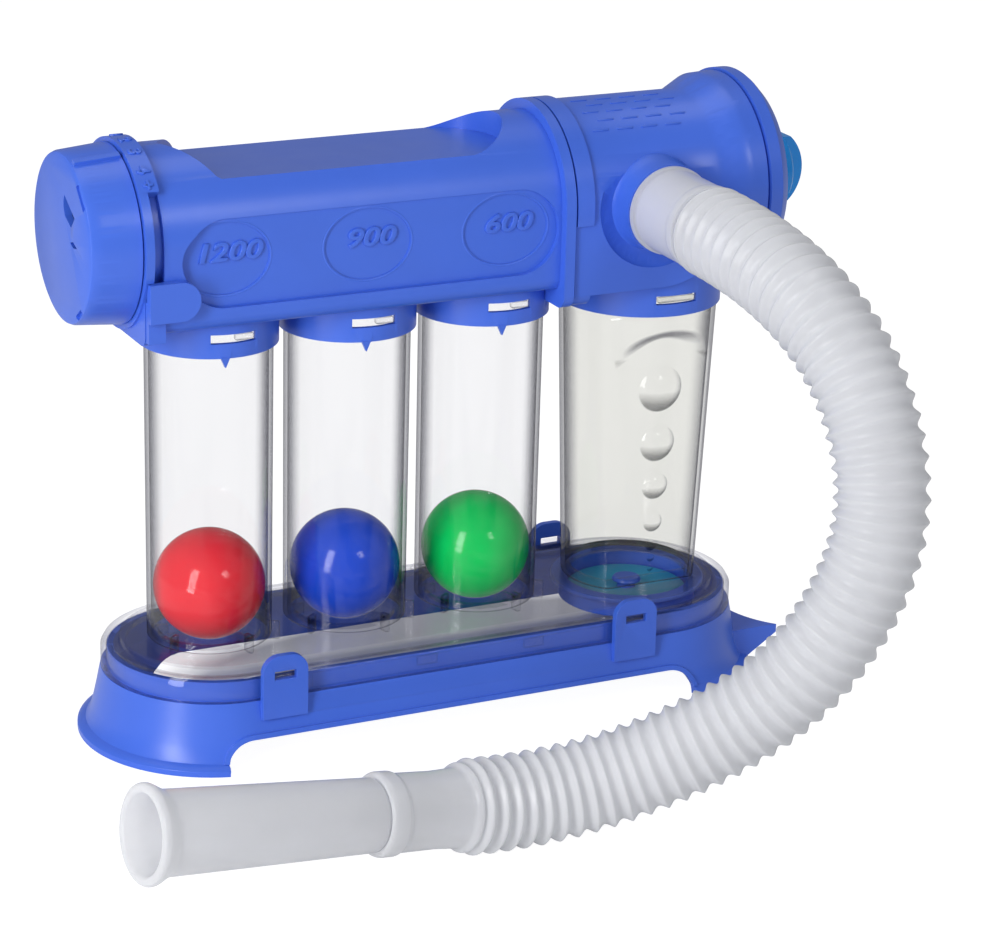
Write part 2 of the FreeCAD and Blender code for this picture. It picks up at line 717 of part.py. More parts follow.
def make_dial():
    """Tapered cup with the pointer rib on its side, two slots at its rim and two openings in its face."""
    r, t, e = dial_radius, dial_wall, dial_edge
    x0 = dial_face_x
    x1 = ring_left - dial_gap
    bore = r - 1.8
    cup = turned_x([(x0, 0), (x0, r - e), (x0 + e * 0.3, r - e * 0.3), (x0 + e, r),
                    (x1, dial_root_radius), (x1, bore), (x0 + t, bore), (x0 + t, 0)])
    half = dial_pointer_width / 2
    top = duct_z + dial_pointer_height
    rib = polygon_face([V(x0 + 0.8, -half, duct_z + r - 1), V(x0 + 0.8, -half, top + r),
                        V(x1 - 0.6, -half, top + dial_root_radius), V(x1 - 0.6, -half, duct_z + r - 1)])
    rib = rib.extrude(V(0, dial_pointer_width, 0))
    rib.rotate(V(0, 0, duct_z), V(1, 0, 0), dial_pointer_angle)
    cup = cup.fuse(rib)
    for angle, length, distance in dial_slots:
        half = length / 2
        slot = box(x0 - 1, x0 + 0.9, -half, half, duct_z + distance, duct_z + distance + dial_slot_width)
        slot.rotate(V(0, 0, duct_z), V(1, 0, 0), angle)
        cup = cup.cut(slot)
    leaf = [V(x0 - 1, y, duct_z + z) for y, z in dial_leaf]
    bulge = V(x0 - 1, dial_leaf_bulge[0], duct_z + dial_leaf_bulge[1])
    edges = [Part.makeLine(a, b) for a, b in zip(leaf, leaf[1:])]
    edges.append(Part.Arc(leaf[-1], bulge, leaf[0]).toShape())
    small = polygon_face([V(x0 - 1, y, duct_z + z) for y, z in dial_small_hole])
    for face in (Part.Face(Part.Wire(edges)), small):
        cup = cup.cut(face.extrude(V(t + 2, 0, 0)))
    return cup.removeSplitter()


def make_sleeve():
    """Valve sleeve that turns with the dial, with a row of slots of growing length."""
    r = sleeve_bore - sleeve_clearance
    x0 = dial_face_x + dial_wall
    x1 = sleeve_bore_end - 0.3
    tube = turned_x([(x0, r - sleeve_wall), (x0, r), (x1, r), (x1, r - sleeve_wall)])
    for k in range(4):
        slot = box(x1 - 4 - 1.4 * k, x1 - 2, -1.6, 1.6, duct_z + r - 4, duct_z + r + 2)
        slot.rotate(V(0, 0, duct_z), V(1, 0, 0), 150 + 20 * k)
        tube = tube.cut(slot)
    return tube


def make_gasket():
    outer = duct_face(joint_flange_radius - 1.2, joint_flange_drop + 6.0, 2.0, joint_x)
    inner = duct_face(duct_bore, stop_top + 3.0, 1.5, joint_x)
    return outer.cut(inner).extrude(V(gasket_thickness, 0, 0))


def make_chamber_housing():
    r = chamber_duct_radius
    x0, x1 = housing_left, chamber_duct_right
    body = turned_x([(x0, 0), (x0, r), (flare_start, r), (flare_start + flare_run, flare_radius - 0.3),
                     (x1, flare_radius), (x1, 0)])
    cheek = Part.Face(Part.Wire([
        Part.makeLine(V(x0, -r, duct_z), V(x0, -r, cheek_low)),
        Part.makeLine(V(x0, -r, cheek_low), V(cheek_right - 26, -r, cheek_low)),
        Part.Arc(V(cheek_right - 26, -r, cheek_low), V(cheek_right - 8, -r, cheek_low + 6.5),
                 V(cheek_right, -r, duct_z)).toShape(),
        Part.makeLine(V(cheek_right, -r, duct_z), V(x0, -r, duct_z)),
    ]))
    body = body.fuse(cheek.extrude(V(0, 2 * r, 0)))
    band = turned_x([(x0, r - 1), (x0, joint_flange_radius), (x0 + joint_band, joint_flange_radius),
                     (x0 + joint_band, r - 1)])
    upper = box(x0 - 1, x0 + joint_band + 1, -2 * r, 2 * r, duct_z - duct_corner, duct_z + 2 * r)
    body = body.fuse(band.common(upper))
    body = body.fuse(duct_solid(r, joint_flange_drop, duct_corner, x0, x0 + joint_band))
    body = body.fuse(collar(chamber_x, chamber_collar_radius, chamber_collar_bottom, duct_z))
    inner_low = stop_top + 2.6
    bore = r - chamber_duct_wall
    throat = x0 + joint_throat
    room = turned_x([(x0 - 1, 0), (x0 - 1, duct_bore), (throat, duct_bore), (throat, bore),
                     (x1 + 1, bore), (x1 + 1, 0)])
    room = room.fuse(box(throat, cheek_right - 12, -bore, bore, inner_low, duct_z))
    room = room.cut(box(x0 - 2, x1 - cap_plug - fit_gap, -2 * r, 2 * r, inner_low - r, inner_low))
    pad = rod(port_dish_radius + 1.5, port_axis - V(0, r - 5, 0), port_axis - V(0, r, 0))
    body = body.cut(room.cut(pad.cut(rod(bore - 2.4, V(x0, 0, duct_z), V(x1, 0, duct_z)))))
    dish = turned([(r + 3, 0), (r + 3, port_dish_radius + 1.5), (r - port_dish_depth * 0.3, port_dish_radius - 1.5),
                   (r - port_dish_depth, port_neck_radius + 1.0), (r - port_dish_depth, 0)],
                  port_axis, V(0, -1, 0), V(1, 0, 0))
    body = body.cut(dish)
    body = body.fuse(turned([
        (r - port_dish_depth - 3, 0), (r - port_dish_depth - 3, port_neck_radius + 0.8),
        (r - port_dish_depth, port_neck_radius + 0.8), (r - port_dish_depth + 1.2, port_neck_radius),
        (-port_face_y, port_neck_radius), (-port_face_y, spigot_radius), (-spigot_tip_y, spigot_radius - 0.4),
        (-spigot_tip_y, 0),
    ], port_axis, V(0, -1, 0), V(1, 0, 0)))
    body = body.cut(collar_cuts(chamber_x, chamber_collar_bore, chamber_collar_bottom, chamber_neck_radius - 3.5,
                                inner_low + 1, chamber_window_z))
    body = body.cut(rod(spigot_bore, V(port_x, 0, duct_z), V(port_x, spigot_tip_y - 1, duct_z)))
    body = body.cut(rod(collar_radius + 0.6, V(column_x[-1], 0, 100), V(column_x[-1], 0, duct_floor + 2.4)))
    return body.removeSplitter()


def make_end_cap():
    x0 = chamber_duct_right
    r = cap_radius
    plug = chamber_duct_radius - chamber_duct_wall - 0.1
    face = cap_face_x
    inside = face - cap_wall
    cap = turned_x([
        (x0, plug - 1.6), (x0 - cap_plug, plug - 1.6), (x0 - cap_plug, plug), (x0, plug), (x0, r - 1.8),
        (x0 + cap_groove, r - 1.8), (x0 + cap_groove, r), (x0 + cap_rim_width, r),
        (x0 + cap_rim_width + 1.0, r - 0.8), (face - 0.2, r - 3.4), (face, r - 5.0), (face, cap_boss_radius),
        (cap_boss_x, cap_boss_radius), (cap_boss_x, spindle_radius + spindle_clearance),
        (inside - 0.3, spindle_radius + spindle_clearance), (inside - 0.3, cap_boss_radius), (inside, cap_boss_radius),
        (inside, plug - 1.6),
    ])
    for side in (0, 180):
        for k in range(3):
            angle = side + 62 + 28 * k
            hole = rod(vent_radius, V(inside - 1, 0, duct_z + vent_circle), V(face + 1, 0, duct_z + vent_circle))
            hole.rotate(V(0, 0, duct_z), V(1, 0, 0), angle)
            cap = cap.cut(hole)
    lug = box(x0 + cap_rim_width - 0.4, x0 + cap_rim_width + 3.6, -24.5, -20.5, duct_z - 9.6, duct_z - 4.4)
    return cap.fuse(lug).removeSplitter()


def make_knob():
    """Disc with an arched bar grip."""
    x0 = cap_boss_x + fit_gap
    x1 = x0 + knob_disc
    r = knob_radius
    disc = turned_x([(x0, 0), (x0, r), (x1 - 0.8, r), (x1, r - 0.8), (x1, 0)])
    half = knob_grip_width / 2
    low, high = duct_z - knob_grip_half, duct_z + knob_grip_half
    arch_x = x1 + knob_grip_rise
    grip = Part.Face(Part.Wire([
        Part.makeLine(V(x1 - 1, -half, low), V(x1 - 1, -half, high)),
        Part.makeLine(V(x1 - 1, -half, high), V(arch_x, -half, high)),
        Part.Arc(V(arch_x, -half, high), V(knob_tip_x, -half, duct_z), V(arch_x, -half, low)).toShape(),
        Part.makeLine(V(arch_x, -half, low), V(x1 - 1, -half, low)),
    ])).extrude(V(0, knob_grip_width, 0))
    knob = disc.fuse(grip)
    bore = rod(spindle_radius + 0.03, V(x0 - 1, 0, duct_z), V(x0 + spindle_depth + 0.2, 0, duct_z))
    return knob.cut(bore).removeSplitter()


def make_shutter():
    """Spindle with a disc behind the end cap's face; two sector openings pass or cover the vents."""
    right = cap_face_x - cap_wall - fit_gap - 0.3
    left = right - shutter_thickness
    tip = cap_boss_x + fit_gap + spindle_depth
    disc = turned_x([(left, 0), (left, shutter_radius), (right, shutter_radius), (right, spindle_radius),
                     (tip, spindle_radius), (tip, 0)])
    for side in (0, 180):
        sector = turned([(left - 1, 8.5), (left - 1, 18.9), (right + 0.5, 18.9), (right + 0.5, 8.5)],
                        V(0, 0, duct_z), V(1, 0, 0), V(0, 0, 1), 80)
        sector.rotate(V(0, 0, duct_z), V(1, 0, 0), side + 50)
        disc = disc.cut(sector)
    return disc


def make_valve_seat():
    """Flanged cup under the chamber, with four air holes and a headed stud."""
    z0 = seat_floor_z
    z1 = z0 + seat_floor
    top = plate_underside
    stud_top = z1 + 0.2 + valve_disc_thickness + valve_lift + 0.3
    cup = turned_z([
        (z0, 0), (z0, seat_radius), (top - 1.4, seat_radius), (top - 1.4, seat_flange_radius),
        (top, seat_flange_radius), (top, seat_radius - seat_wall), (z1, seat_radius - seat_wall),
        (z1, stud_radius), (stud_top, stud_radius), (stud_top, stud_head_radius),
        (stud_top + stud_head, stud_head_radius - 0.6), (stud_top + stud_head, 0),
    ], chamber_x)
    for k in range(4):
        hole = rod(4.0, V(chamber_x + 10.5, 0, z0 - 1), V(chamber_x + 10.5, 0, z1 + 0.1))
        hole.rotate(V(chamber_x, 0, 0), V(0, 0, 1), 45 + 90 * k)
        cup = cup.cut(hole)
    return cup


def make_valve_disc():
    z0 = seat_floor_z + seat_floor + 0.2
    z1 = z0 + valve_disc_thickness
    r = stud_radius + 0.08
    return turned_z([(z0, r), (z0, valve_disc_radius), (z1, valve_disc_radius), (z1, r)], chamber_x)


def round_path(points):
    """Straight runs joined by tangent arcs as large as the two runs at each corner allow.

    A run between two corners is shared by their arcs, the first and the last run belong to one arc each.
    """
    edges = []
    radii = []
    start = points[0]
    for before, corner, after in zip(points, points[1:], points[2:]):
        into = (corner - before).normalize()
        out = (after - corner).normalize()
        half_turn = into.getAngle(out) / 2
        first = 0.9 if before == points[0] else 0.45
        last = 0.9 if after == points[-1] else 0.45
        reach = min(first * (corner - before).Length, last * (after - corner).Length)
        radius = reach / math.tan(half_turn)
        radii.append(radius)
        a = corner - into * reach
        b = corner + out * reach
        inward = (out - into).normalize()
        middle = corner + inward * (radius / math.cos(half_turn) - radius)
        edges.append(Part.makeLine(start, a))
        edges.append(Part.Arc(a, middle, b).toShape())
        start = b
    edges.append(Part.makeLine(start, points[-1]))
    return Part.Wire(edges), radii


def make_hose():
    path, radii = round_path(hose_route)
    axis = (hose_route[1] - hose_route[0]).normalize()
    tubes = []
    for radius in (hose_diameter / 2, hose_bore / 2):
        ring = Part.Wire([Part.makeCircle(radius, hose_route[0], axis)])
        tubes.append(path.makePipeShell([ring], True, True))
    hose = tubes[0].cut(tubes[1])
    section = math.pi * (hose_diameter ** 2 - hose_bore ** 2) / 4
    print("hose length", round(path.Length, 1), "bend radii", [round(r, 1) for r in radii])
    print("hose volume over section times length", round(hose.Volume / (section * path.Length), 5))
    return hose


def make_port_cuff():
    length = port_face_y - hose_route[0].y
    bore = spigot_radius + 0.05
    outer = bore + cuff_wall
    profile = [(0, bore), (0, outer + 0.5), (2.0, outer + 0.5), (2.4, outer), (length - 3.0, outer),
               (length - 2.0, hose_diameter / 2), (length, hose_diameter / 2), (length, bore)]
    return turned(profile, V(port_x, port_face_y, duct_z), V(0, -1, 0), V(1, 0, 0))


def mouth_axis():
    return (hose_route[-1] - hose_route[-2]).normalize()


def mouth_side():
    return mouth_axis().cross(V(0, 0, 1)).normalize()


def make_mouth_cuff():
    length = mouth_cuff_length
    bore = mouthpiece_root_radius + 0.05
    r = mouth_cuff_radius
    bead, bead_start = r + mouth_bead, length - mouth_bead_width
    profile = [(0, bore), (0, hose_diameter / 2), (2.0, hose_diameter / 2), (3.0, r), (bead_start, r),
               (bead_start + 0.5, bead), (length - 0.5, bead), (length, bead - 0.5),
               (length, bore)]
    return turned(profile, hose_route[-1], mouth_axis(), mouth_side())


def make_mouthpiece():
    start = hose_route[-1] + mouth_axis() * (mouth_cuff_length - mouthpiece_insert)
    n, length = mouthpiece_insert, mouthpiece_insert + mouthpiece_length
    r0, r1, r2, t = mouthpiece_root_radius, mouthpiece_mouth_radius, mouthpiece_lip_radius, mouthpiece_wall
    lip = mouthpiece_lip_length
    profile = [(0, r0 - t), (0, r0), (n, r0), (n, r0 + mouthpiece_step), (length - lip, r1), (length - lip / 2, r2),
               (length - 0.6, r2), (length, r2 - 0.6), (length, r1 - t + 0.4), (length - 3.0, r1 - t), (n, r0 - t)]
    return turned(profile, start, mouth_axis(), mouth_side())


def build():
    pieces = {
        "stand": make_stand(),
        "clear_tray": make_tray(),
        "chamber_tube": make_chamber(),
        "manifold_housing": make_manifold(),
        "scale_ring": make_scale_ring(),
        "ring_latch": make_latch(),
        "flow_dial": make_dial(),
        "dial_sleeve": make_sleeve(),
        "joint_gasket": make_gasket(),
        "chamber_housing": make_chamber_housing(),
        "end_cap": make_end_cap(),
        "selector_knob": make_knob(),
        "selector_shutter": make_shutter(),
        "valve_seat": make_valve_seat(),
        "valve_disc": make_valve_disc(),
        "chamber_seal": make_seal(chamber_x, chamber_neck_radius, chamber_wall + 0.6),
        "hose": make_hose(),
        "port_cuff": make_port_cuff(),
        "mouth_cuff": make_mouth_cuff(),
        "mouthpiece": make_mouthpiece(),
    }
    for number, (x, colour) in enumerate(zip(column_x, ("red", "blue", "green")), 1):
        pieces["column_tube_%d" % number] = make_column(x)
        pieces["tube_seal_%d" % number] = make_seal(x, column_top_radius, column_wall + 0.5)
        pieces["ball_stop_%d" % number] = make_stop(x)
        pieces["ball_" + colour] = make_ball(x)
    return pieces


def main():
    # The arches cut the foot's widest part away, so the front and rear reach is at the arch's corner
    foot_reach = math.sqrt(foot_half_width ** 2 - (arch_half_width - arch_skew - base_end_x) ** 2)
    shift = V(-(dial_face_x + knob_tip_x) / 2, -(spigot_tip_y + foot_reach) / 2, 0)
    os.makedirs("parts", exist_ok=True)
    for name, shape in build().items():
        shape.translate(shift)
        shape.exportStep("parts/%s.step" % name)
    print("shift", shift, "ball travel", round(ball_travel, 3), "ball rest", round(ball_rest_z, 3))


main()
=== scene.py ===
"""Looks of a breathing exerciser: blue moulded housings over three clear ball columns and a graded
clear chamber, on a clipped foot, with a corrugated hose and a mouthpiece."""

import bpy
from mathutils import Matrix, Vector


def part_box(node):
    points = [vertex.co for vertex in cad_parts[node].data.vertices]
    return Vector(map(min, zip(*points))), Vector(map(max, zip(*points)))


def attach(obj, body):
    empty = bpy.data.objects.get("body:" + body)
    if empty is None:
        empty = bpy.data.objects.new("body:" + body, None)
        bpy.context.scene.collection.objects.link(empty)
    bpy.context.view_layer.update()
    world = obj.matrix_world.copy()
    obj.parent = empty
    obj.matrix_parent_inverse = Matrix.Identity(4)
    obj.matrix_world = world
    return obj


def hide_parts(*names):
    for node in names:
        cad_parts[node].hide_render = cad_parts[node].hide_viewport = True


bl_info = {
    "name": "Breathing exerciser",
    "version": (1, 0, 0),
    "blender": (4, 5, 0),
    "location": "View3D > Sidebar > Exerciser",
    "description": "Dresses the packed frame of a ball-column breathing exerciser",
    "category": "Mesh",
}

import math

import bmesh
import bpy
import numpy as np
from mathutils import Matrix, Vector

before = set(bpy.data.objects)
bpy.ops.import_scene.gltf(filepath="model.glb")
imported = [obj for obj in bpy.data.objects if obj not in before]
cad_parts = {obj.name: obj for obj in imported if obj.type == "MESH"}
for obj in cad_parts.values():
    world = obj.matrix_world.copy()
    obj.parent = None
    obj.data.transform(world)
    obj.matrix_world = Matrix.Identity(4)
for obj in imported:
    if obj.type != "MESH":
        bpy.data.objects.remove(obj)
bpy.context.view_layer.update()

MM = 0.001
COLUMNS = ("column_tube_1", "column_tube_2", "column_tube_3")
DUCT_RADIUS = 23.2
PANEL_DEPTH = 1.85
AXIS_Z = 144.2
TRAY_TOP = 27.4
# Height up to which the chamber's down-leaning faces carry painted shade
BUBBLES_TOP = 94.5
OVAL_MIDDLE = (-3.7, 140.6)  # from the column's axis, and height
BALLS = {"ball_red": "red_float", "ball_blue": "blue_float", "ball_green": "green_float"}


def colour(text):
    """Linear colour of an sRGB hex value."""
    value = np.array([int(text[i:i + 2], 16) for i in (1, 3, 5)]) / 255
    linear = np.where(value <= 0.04045, value / 12.92, ((value + 0.055) / 1.055) ** 2.4)
    return tuple(float(v) for v in linear)


def length(name, description, default):
    return bpy.props.FloatProperty(name=name, description=description, default=default, min=0.0,
                                   unit="LENGTH", precision=5)


def tint(name, description, text):
    return bpy.props.FloatVectorProperty(name=name, description=description, default=colour(text),
                                         subtype="COLOR", size=3, min=0.0, max=1.0)


class ExerciserSizes(bpy.types.PropertyGroup):
    """Sizes of what is modelled over the frame."""
    hose_diameter: length("Hose diameter", "Over the ridges of the hose", 25.0 * MM)
    ridge_pitch: length("Ridge pitch", "From one ridge of the hose to the next", 4.7 * MM)
    ridge_height: length("Ridge height", "Depth of the grooves between the ridges", 1.5 * MM)
    hose_wall: length("Hose wall", "Thickness of the hose's skin", 0.8 * MM)
    column_wall: length("Column wall", "Wall of the clear columns", 1.2 * MM)
    chamber_wall: length("Chamber wall", "Wall of the graded chamber", 1.3 * MM)
    edge_round: length("Edge rounding", "Rounding of the moulded edges", 0.4 * MM)
    number_height: length("Number height", "Height of the numbers on the duct", 4.9 * MM)
    number_relief: length("Number relief", "How far the numbers stand out", 0.9 * MM)


class ExerciserColours(bpy.types.PropertyGroup):
    """Colours of the mouldings."""
    blue: tint("Housing blue", "Housings, dial and foot", "#4069D8")
    red: tint("Red ball", "Ball of the left column", "#FB2F3C")
    ball_blue: tint("Blue ball", "Ball of the middle column", "#1F50DC")
    green: tint("Green ball", "Ball of the right column", "#10DC66")
    cyan: tint("Selector cyan", "Selector knob", "#0C92E8")
    film: tint("Disc cyan", "One-way disc under the chamber", "#3CB4DA")
    milky: tint("Milky vinyl", "Hose, cuffs and mouthpiece", "#ECEDF0")
    rubber: tint("Seal grey", "Seals and gasket", "#55565A")


class ExerciserStage(bpy.types.PropertyGroup):
    """Camera, light and floor."""
    azimuth: bpy.props.FloatProperty(name="Azimuth", description="Camera's turn to the left of the front",
                                     default=math.radians(-26.47), subtype="ANGLE")
    elevation: bpy.props.FloatProperty(name="Elevation", description="Camera's angle above the horizon",
                                       default=math.radians(19.25), subtype="ANGLE")
    roll: bpy.props.FloatProperty(name="Roll", description="Camera's turn about its own axis",
                                  default=math.radians(1.53), subtype="ANGLE")
    distance: length("Distance", "From the camera to the point that it looks at", 973.1 * MM)
    lens: bpy.props.FloatProperty(name="Lens", description="Focal length in millimetres on a 36 mm sensor",
                                  default=123.29)
    floor: tint("Floor", "Pale floor", "#FAFAFA")


def sizes():
    return bpy.context.scene.exerciser_sizes


def colours():
    return bpy.context.scene.exerciser_colours


# Materials

def add_node(material, kind, inputs=None, **settings):
    """Add a shader node. Settings are its properties; inputs give a socket a value or a link."""
    node = material.node_tree.nodes.new(kind)
    for key, value in settings.items():
        setattr(node, key, value)
    for socket, value in (inputs or {}).items():
        if isinstance(value, bpy.types.NodeSocket):
            material.node_tree.links.new(value, node.inputs[socket])
        else:
            node.inputs[socket].default_value = value
    return node


def new_material(name, preview):
    """A material whose node tree is empty."""
    material = bpy.data.materials.new(name)
    material.use_nodes = True
    material.node_tree.nodes.clear()
    material.diffuse_color = (*preview, 1.0)
    return material


def show(material, shader):
    """The material, with the shader led to its output."""
    add_node(material, "ShaderNodeOutputMaterial", {"Surface": shader.outputs[0]})
    return material


def ripple(material, size, height, detail=2.0):
    """Bump of a noise whose blotches are size across and height high."""
    place = add_node(material, "ShaderNodeTexCoord")
    noise = add_node(material, "ShaderNodeTexNoise",
                     {"Vector": place.outputs["Object"], "Scale": 1.0 / size, "Detail": detail})
    return add_node(material, "ShaderNodeBump",
                    {"Height": noise.outputs[0], "Distance": height, "Strength": 1.0})


def varied_colour(material, base, size, amount):
    """Colour that drifts by amount to either side of base, in blotches of size."""
    place = add_node(material, "ShaderNodeTexCoord")
    noise = add_node(material, "ShaderNodeTexNoise",
                     {"Vector": place.outputs["Object"], "Scale": 1.0 / size, "Detail": 3.0})
    ramp = add_node(material, "ShaderNodeValToRGB", {"Fac": noise.outputs[0]})
    ramp.color_ramp.elements[0].position = 0.35
    ramp.color_ramp.elements[1].position = 0.65
    ramp.color_ramp.elements[0].color = (*[c * (1 - amount) for c in base], 1.0)
    ramp.color_ramp.elements[1].color = (*[min(1.0, c * (1 + amount)) for c in base], 1.0)
    return ramp.outputs[0]


def moulded_polypropylene(name, base, roughness=0.3):
    """Injection-moulded polypropylene from a polished mould."""
    # Even, saturated colour with broad soft highlights; the skin has a faint long ripple from cooling
    # and a fine satin grain, drawn at 0.5 mm so that it shows.
    material = new_material(name, base)
    long_ripple = ripple(material, 14 * MM, 0.06 * MM)
    grain = ripple(material, 0.5 * MM, 0.004 * MM)
    material.node_tree.links.new(long_ripple.outputs[0], grain.inputs["Normal"])
    place = add_node(material, "ShaderNodeTexCoord")
    patch = add_node(material, "ShaderNodeTexNoise",
                     {"Vector": place.outputs["Object"], "Scale": 1.0 / (9 * MM), "Detail": 3.0})
    dull = add_node(material, "ShaderNodeMapRange",
                    {"Value": patch.outputs[0], "To Min": roughness - 0.03, "To Max": roughness + 0.05})
    shader = add_node(material, "ShaderNodeBsdfPrincipled", {
        "Base Color": varied_colour(material, base, 20 * MM, 0.02), "Roughness": dull.outputs[0],
        "IOR": 1.49, "Normal": grain.outputs[0]})
    return show(material, shader)


def edge_share(material, blend, normal):
    """How edge-on a surface is seen, from 0 face-on to 1 at its outline."""
    weight = add_node(material, "ShaderNodeLayerWeight", {"Blend": blend, "Normal": normal.outputs[0]})
    return weight.outputs["Facing"]


def clear_styrene(name, face_on, edge_on, lens=1.0):
    """Clear polystyrene from a mirror-polished mould, thin enough that it hardly bends what is behind it.
    Where lens is below 1, what leans down is darkened to that share with painted shade, up to the spring of
    the chamber's arch; the painted shade stands in for the bubbles' bending of the view, which is not
    rendered."""
    # Water clear where it is seen face-on; edge-on the light has a long way through it and it goes grey,
    # which draws each wall, lip and rib. A hard gloss over it carries the lamps' highlights.
    material = new_material(name, face_on)
    flow = ripple(material, 9 * MM, 0.012 * MM, 1.0)
    grey = add_node(material, "ShaderNodeValToRGB", {"Fac": edge_share(material, 0.42, flow)})
    grey.color_ramp.elements[0].position = 0.35
    grey.color_ramp.elements[0].color = (*face_on, 1.0)
    grey.color_ramp.elements[1].position = 0.96
    grey.color_ramp.elements[1].color = (*edge_on, 1.0)
    seen = grey.outputs[0]
    # Painted shade: faces whose normal leans down are darkened by their lean, below the arch's spring only.
    if lens < 1.0:
        facing = add_node(material, "ShaderNodeSeparateXYZ",
                          {0: add_node(material, "ShaderNodeNewGeometry").outputs["Normal"]})
        leaning = add_node(material, "ShaderNodeMapRange", {"Value": facing.outputs["Z"], "From Min": -0.5,
                                                            "From Max": -0.06, "To Min": lens, "To Max": 1.0})
        place = add_node(material, "ShaderNodeSeparateXYZ",
                         {0: add_node(material, "ShaderNodeTexCoord").outputs["Object"]})
        over = add_node(material, "ShaderNodeMapRange", {
            "Value": place.outputs["Z"], "From Min": BUBBLES_TOP * MM, "From Max": (BUBBLES_TOP + 2.5) * MM,
            "To Min": 0.0, "To Max": 1.0})
        shade = add_node(material, "ShaderNodeMath", {0: leaning.outputs[0], 1: over.outputs[0]},
                         operation="MAXIMUM")
        seen = add_node(material, "ShaderNodeVectorMath", {0: seen, "Scale": shade.outputs[0]},
                        operation="SCALE").outputs[0]
    clear = add_node(material, "ShaderNodeBsdfTransparent", {"Color": seen})
    gloss = add_node(material, "ShaderNodeBsdfGlossy", {"Color": (1, 1, 1, 1), "Roughness": 0.05,
                                                       "Normal": flow.outputs[0]})
    steep = add_node(material, "ShaderNodeMath", {0: edge_share(material, 0.5, flow), 1: 4.0},
                     operation="POWER")
    shine = add_node(material, "ShaderNodeMapRange",
                     {"Value": steep.outputs[0], "To Min": 0.02, "To Max": 0.5})
    mix = add_node(material, "ShaderNodeMixShader",
                   {0: shine.outputs[0], 1: clear.outputs[0], 2: gloss.outputs[0]})
    return show(material, mix)


def milky_vinyl(name, base, see_through, roughness):
    """Blow-moulded natural EVA and polyethylene, milky and half see-through."""
    # Part of the light goes straight through its thin skin, so blue behind it shows as a pale tinge; the
    # rest is scattered white, most of it edge-on, where the skin is seen the long way. Soft wax-like gloss.
    material = new_material(name, base)
    grain = ripple(material, 1.6 * MM, 0.01 * MM)
    skin = add_node(material, "ShaderNodeBsdfPrincipled", {
        "Base Color": varied_colour(material, base, 12 * MM, 0.015), "Roughness": roughness, "IOR": 1.48,
        "Normal": grain.outputs[0]})
    lit = add_node(material, "ShaderNodeBsdfTranslucent", {"Color": (*base, 1.0), "Normal": grain.outputs[0]})
    body = add_node(material, "ShaderNodeMixShader", {0: 0.35, 1: skin.outputs[0], 2: lit.outputs[0]})
    clear = add_node(material, "ShaderNodeBsdfTransparent", {"Color": (0.97, 0.97, 0.98, 1.0)})
    edge = add_node(material, "ShaderNodeMapRange", {
        "Value": edge_share(material, 0.5, grain), "From Min": 0.0, "From Max": 0.8,
        "To Min": 1 - see_through, "To Max": 1.0})
    mix = add_node(material, "ShaderNodeMixShader",
                   {0: edge.outputs[0], 1: clear.outputs[0], 2: body.outputs[0]})
    return show(material, mix)


def glossy_ball(name, base):
    """Polypropylene ball, blow moulded and polished."""
    # Strong clean colour with sharp window-like highlights over a slightly uneven skin.
    material = new_material(name, base)
    skin = ripple(material, 6 * MM, 0.02 * MM)
    shader = add_node(material, "ShaderNodeBsdfPrincipled", {
        "Base Color": varied_colour(material, base, 8 * MM, 0.03), "Roughness": 0.1, "IOR": 1.38,
        "Normal": skin.outputs[0]})
    return show(material, shader)


def soft_film(name, base):
    """Silicone film, cast thin."""
    # Dull satin with a slight waviness.
    material = new_material(name, base)
    wave = ripple(material, 5 * MM, 0.05 * MM)
    shader = add_node(material, "ShaderNodeBsdfPrincipled", {
        "Base Color": varied_colour(material, base, 6 * MM, 0.05), "Roughness": 0.4, "IOR": 1.41,
        "Normal": wave.outputs[0]})
    return show(material, shader)


def moulded_rubber(name, base):
    """Nitrile rubber from a compression mould."""
    # Dull grey with a fine dusty grain, drawn at 0.8 mm so that it shows.
    material = new_material(name, base)
    grain = ripple(material, 0.8 * MM, 0.02 * MM)
    shader = add_node(material, "ShaderNodeBsdfPrincipled", {
        "Base Color": varied_colour(material, base, 3 * MM, 0.08), "Roughness": 0.7, "IOR": 1.52,
        "Normal": grain.outputs[0]})
    return show(material, shader)


def finish_of(name):
    """The material of that name, made at its first use. No name here is one of the record's slots, which the
    frame's own materials bear."""
    tints = colours()
    makers = {
        "blue_polypropylene": lambda n: moulded_polypropylene(n, tuple(tints.blue)),
        "cyan_polypropylene": lambda n: moulded_polypropylene(n, tuple(tints.cyan), 0.22),
        "clear_styrene": lambda n: clear_styrene(n, (0.96, 0.96, 0.965), (0.3, 0.3, 0.34)),
        # The chamber's finish carries painted shade on its down-leaning faces, below BUBBLES_TOP.
        "chamber_styrene": lambda n: clear_styrene(n, (0.93, 0.93, 0.92), (0.3, 0.3, 0.34), 0.4),
        "tray_styrene": lambda n: clear_styrene(n, (0.97, 0.97, 0.98), (0.66, 0.66, 0.7)),
        "milky_hose": lambda n: milky_vinyl(n, tuple(tints.milky), 0.3, 0.25),
        "milky_cuff": lambda n: milky_vinyl(n, tuple(tints.milky), 0.45, 0.2),
        "polished_red": lambda n: glossy_ball(n, tuple(tints.red)),
        "polished_blue": lambda n: glossy_ball(n, tuple(tints.ball_blue)),
        "polished_green": lambda n: glossy_ball(n, tuple(tints.green)),
        "silicone_film": lambda n: soft_film(n, tuple(tints.film)),
        "nitrile_rubber": lambda n: moulded_rubber(n, tuple(tints.rubber)),
    }
    return bpy.data.materials.get(name) or makers[name](name)


# Meshes

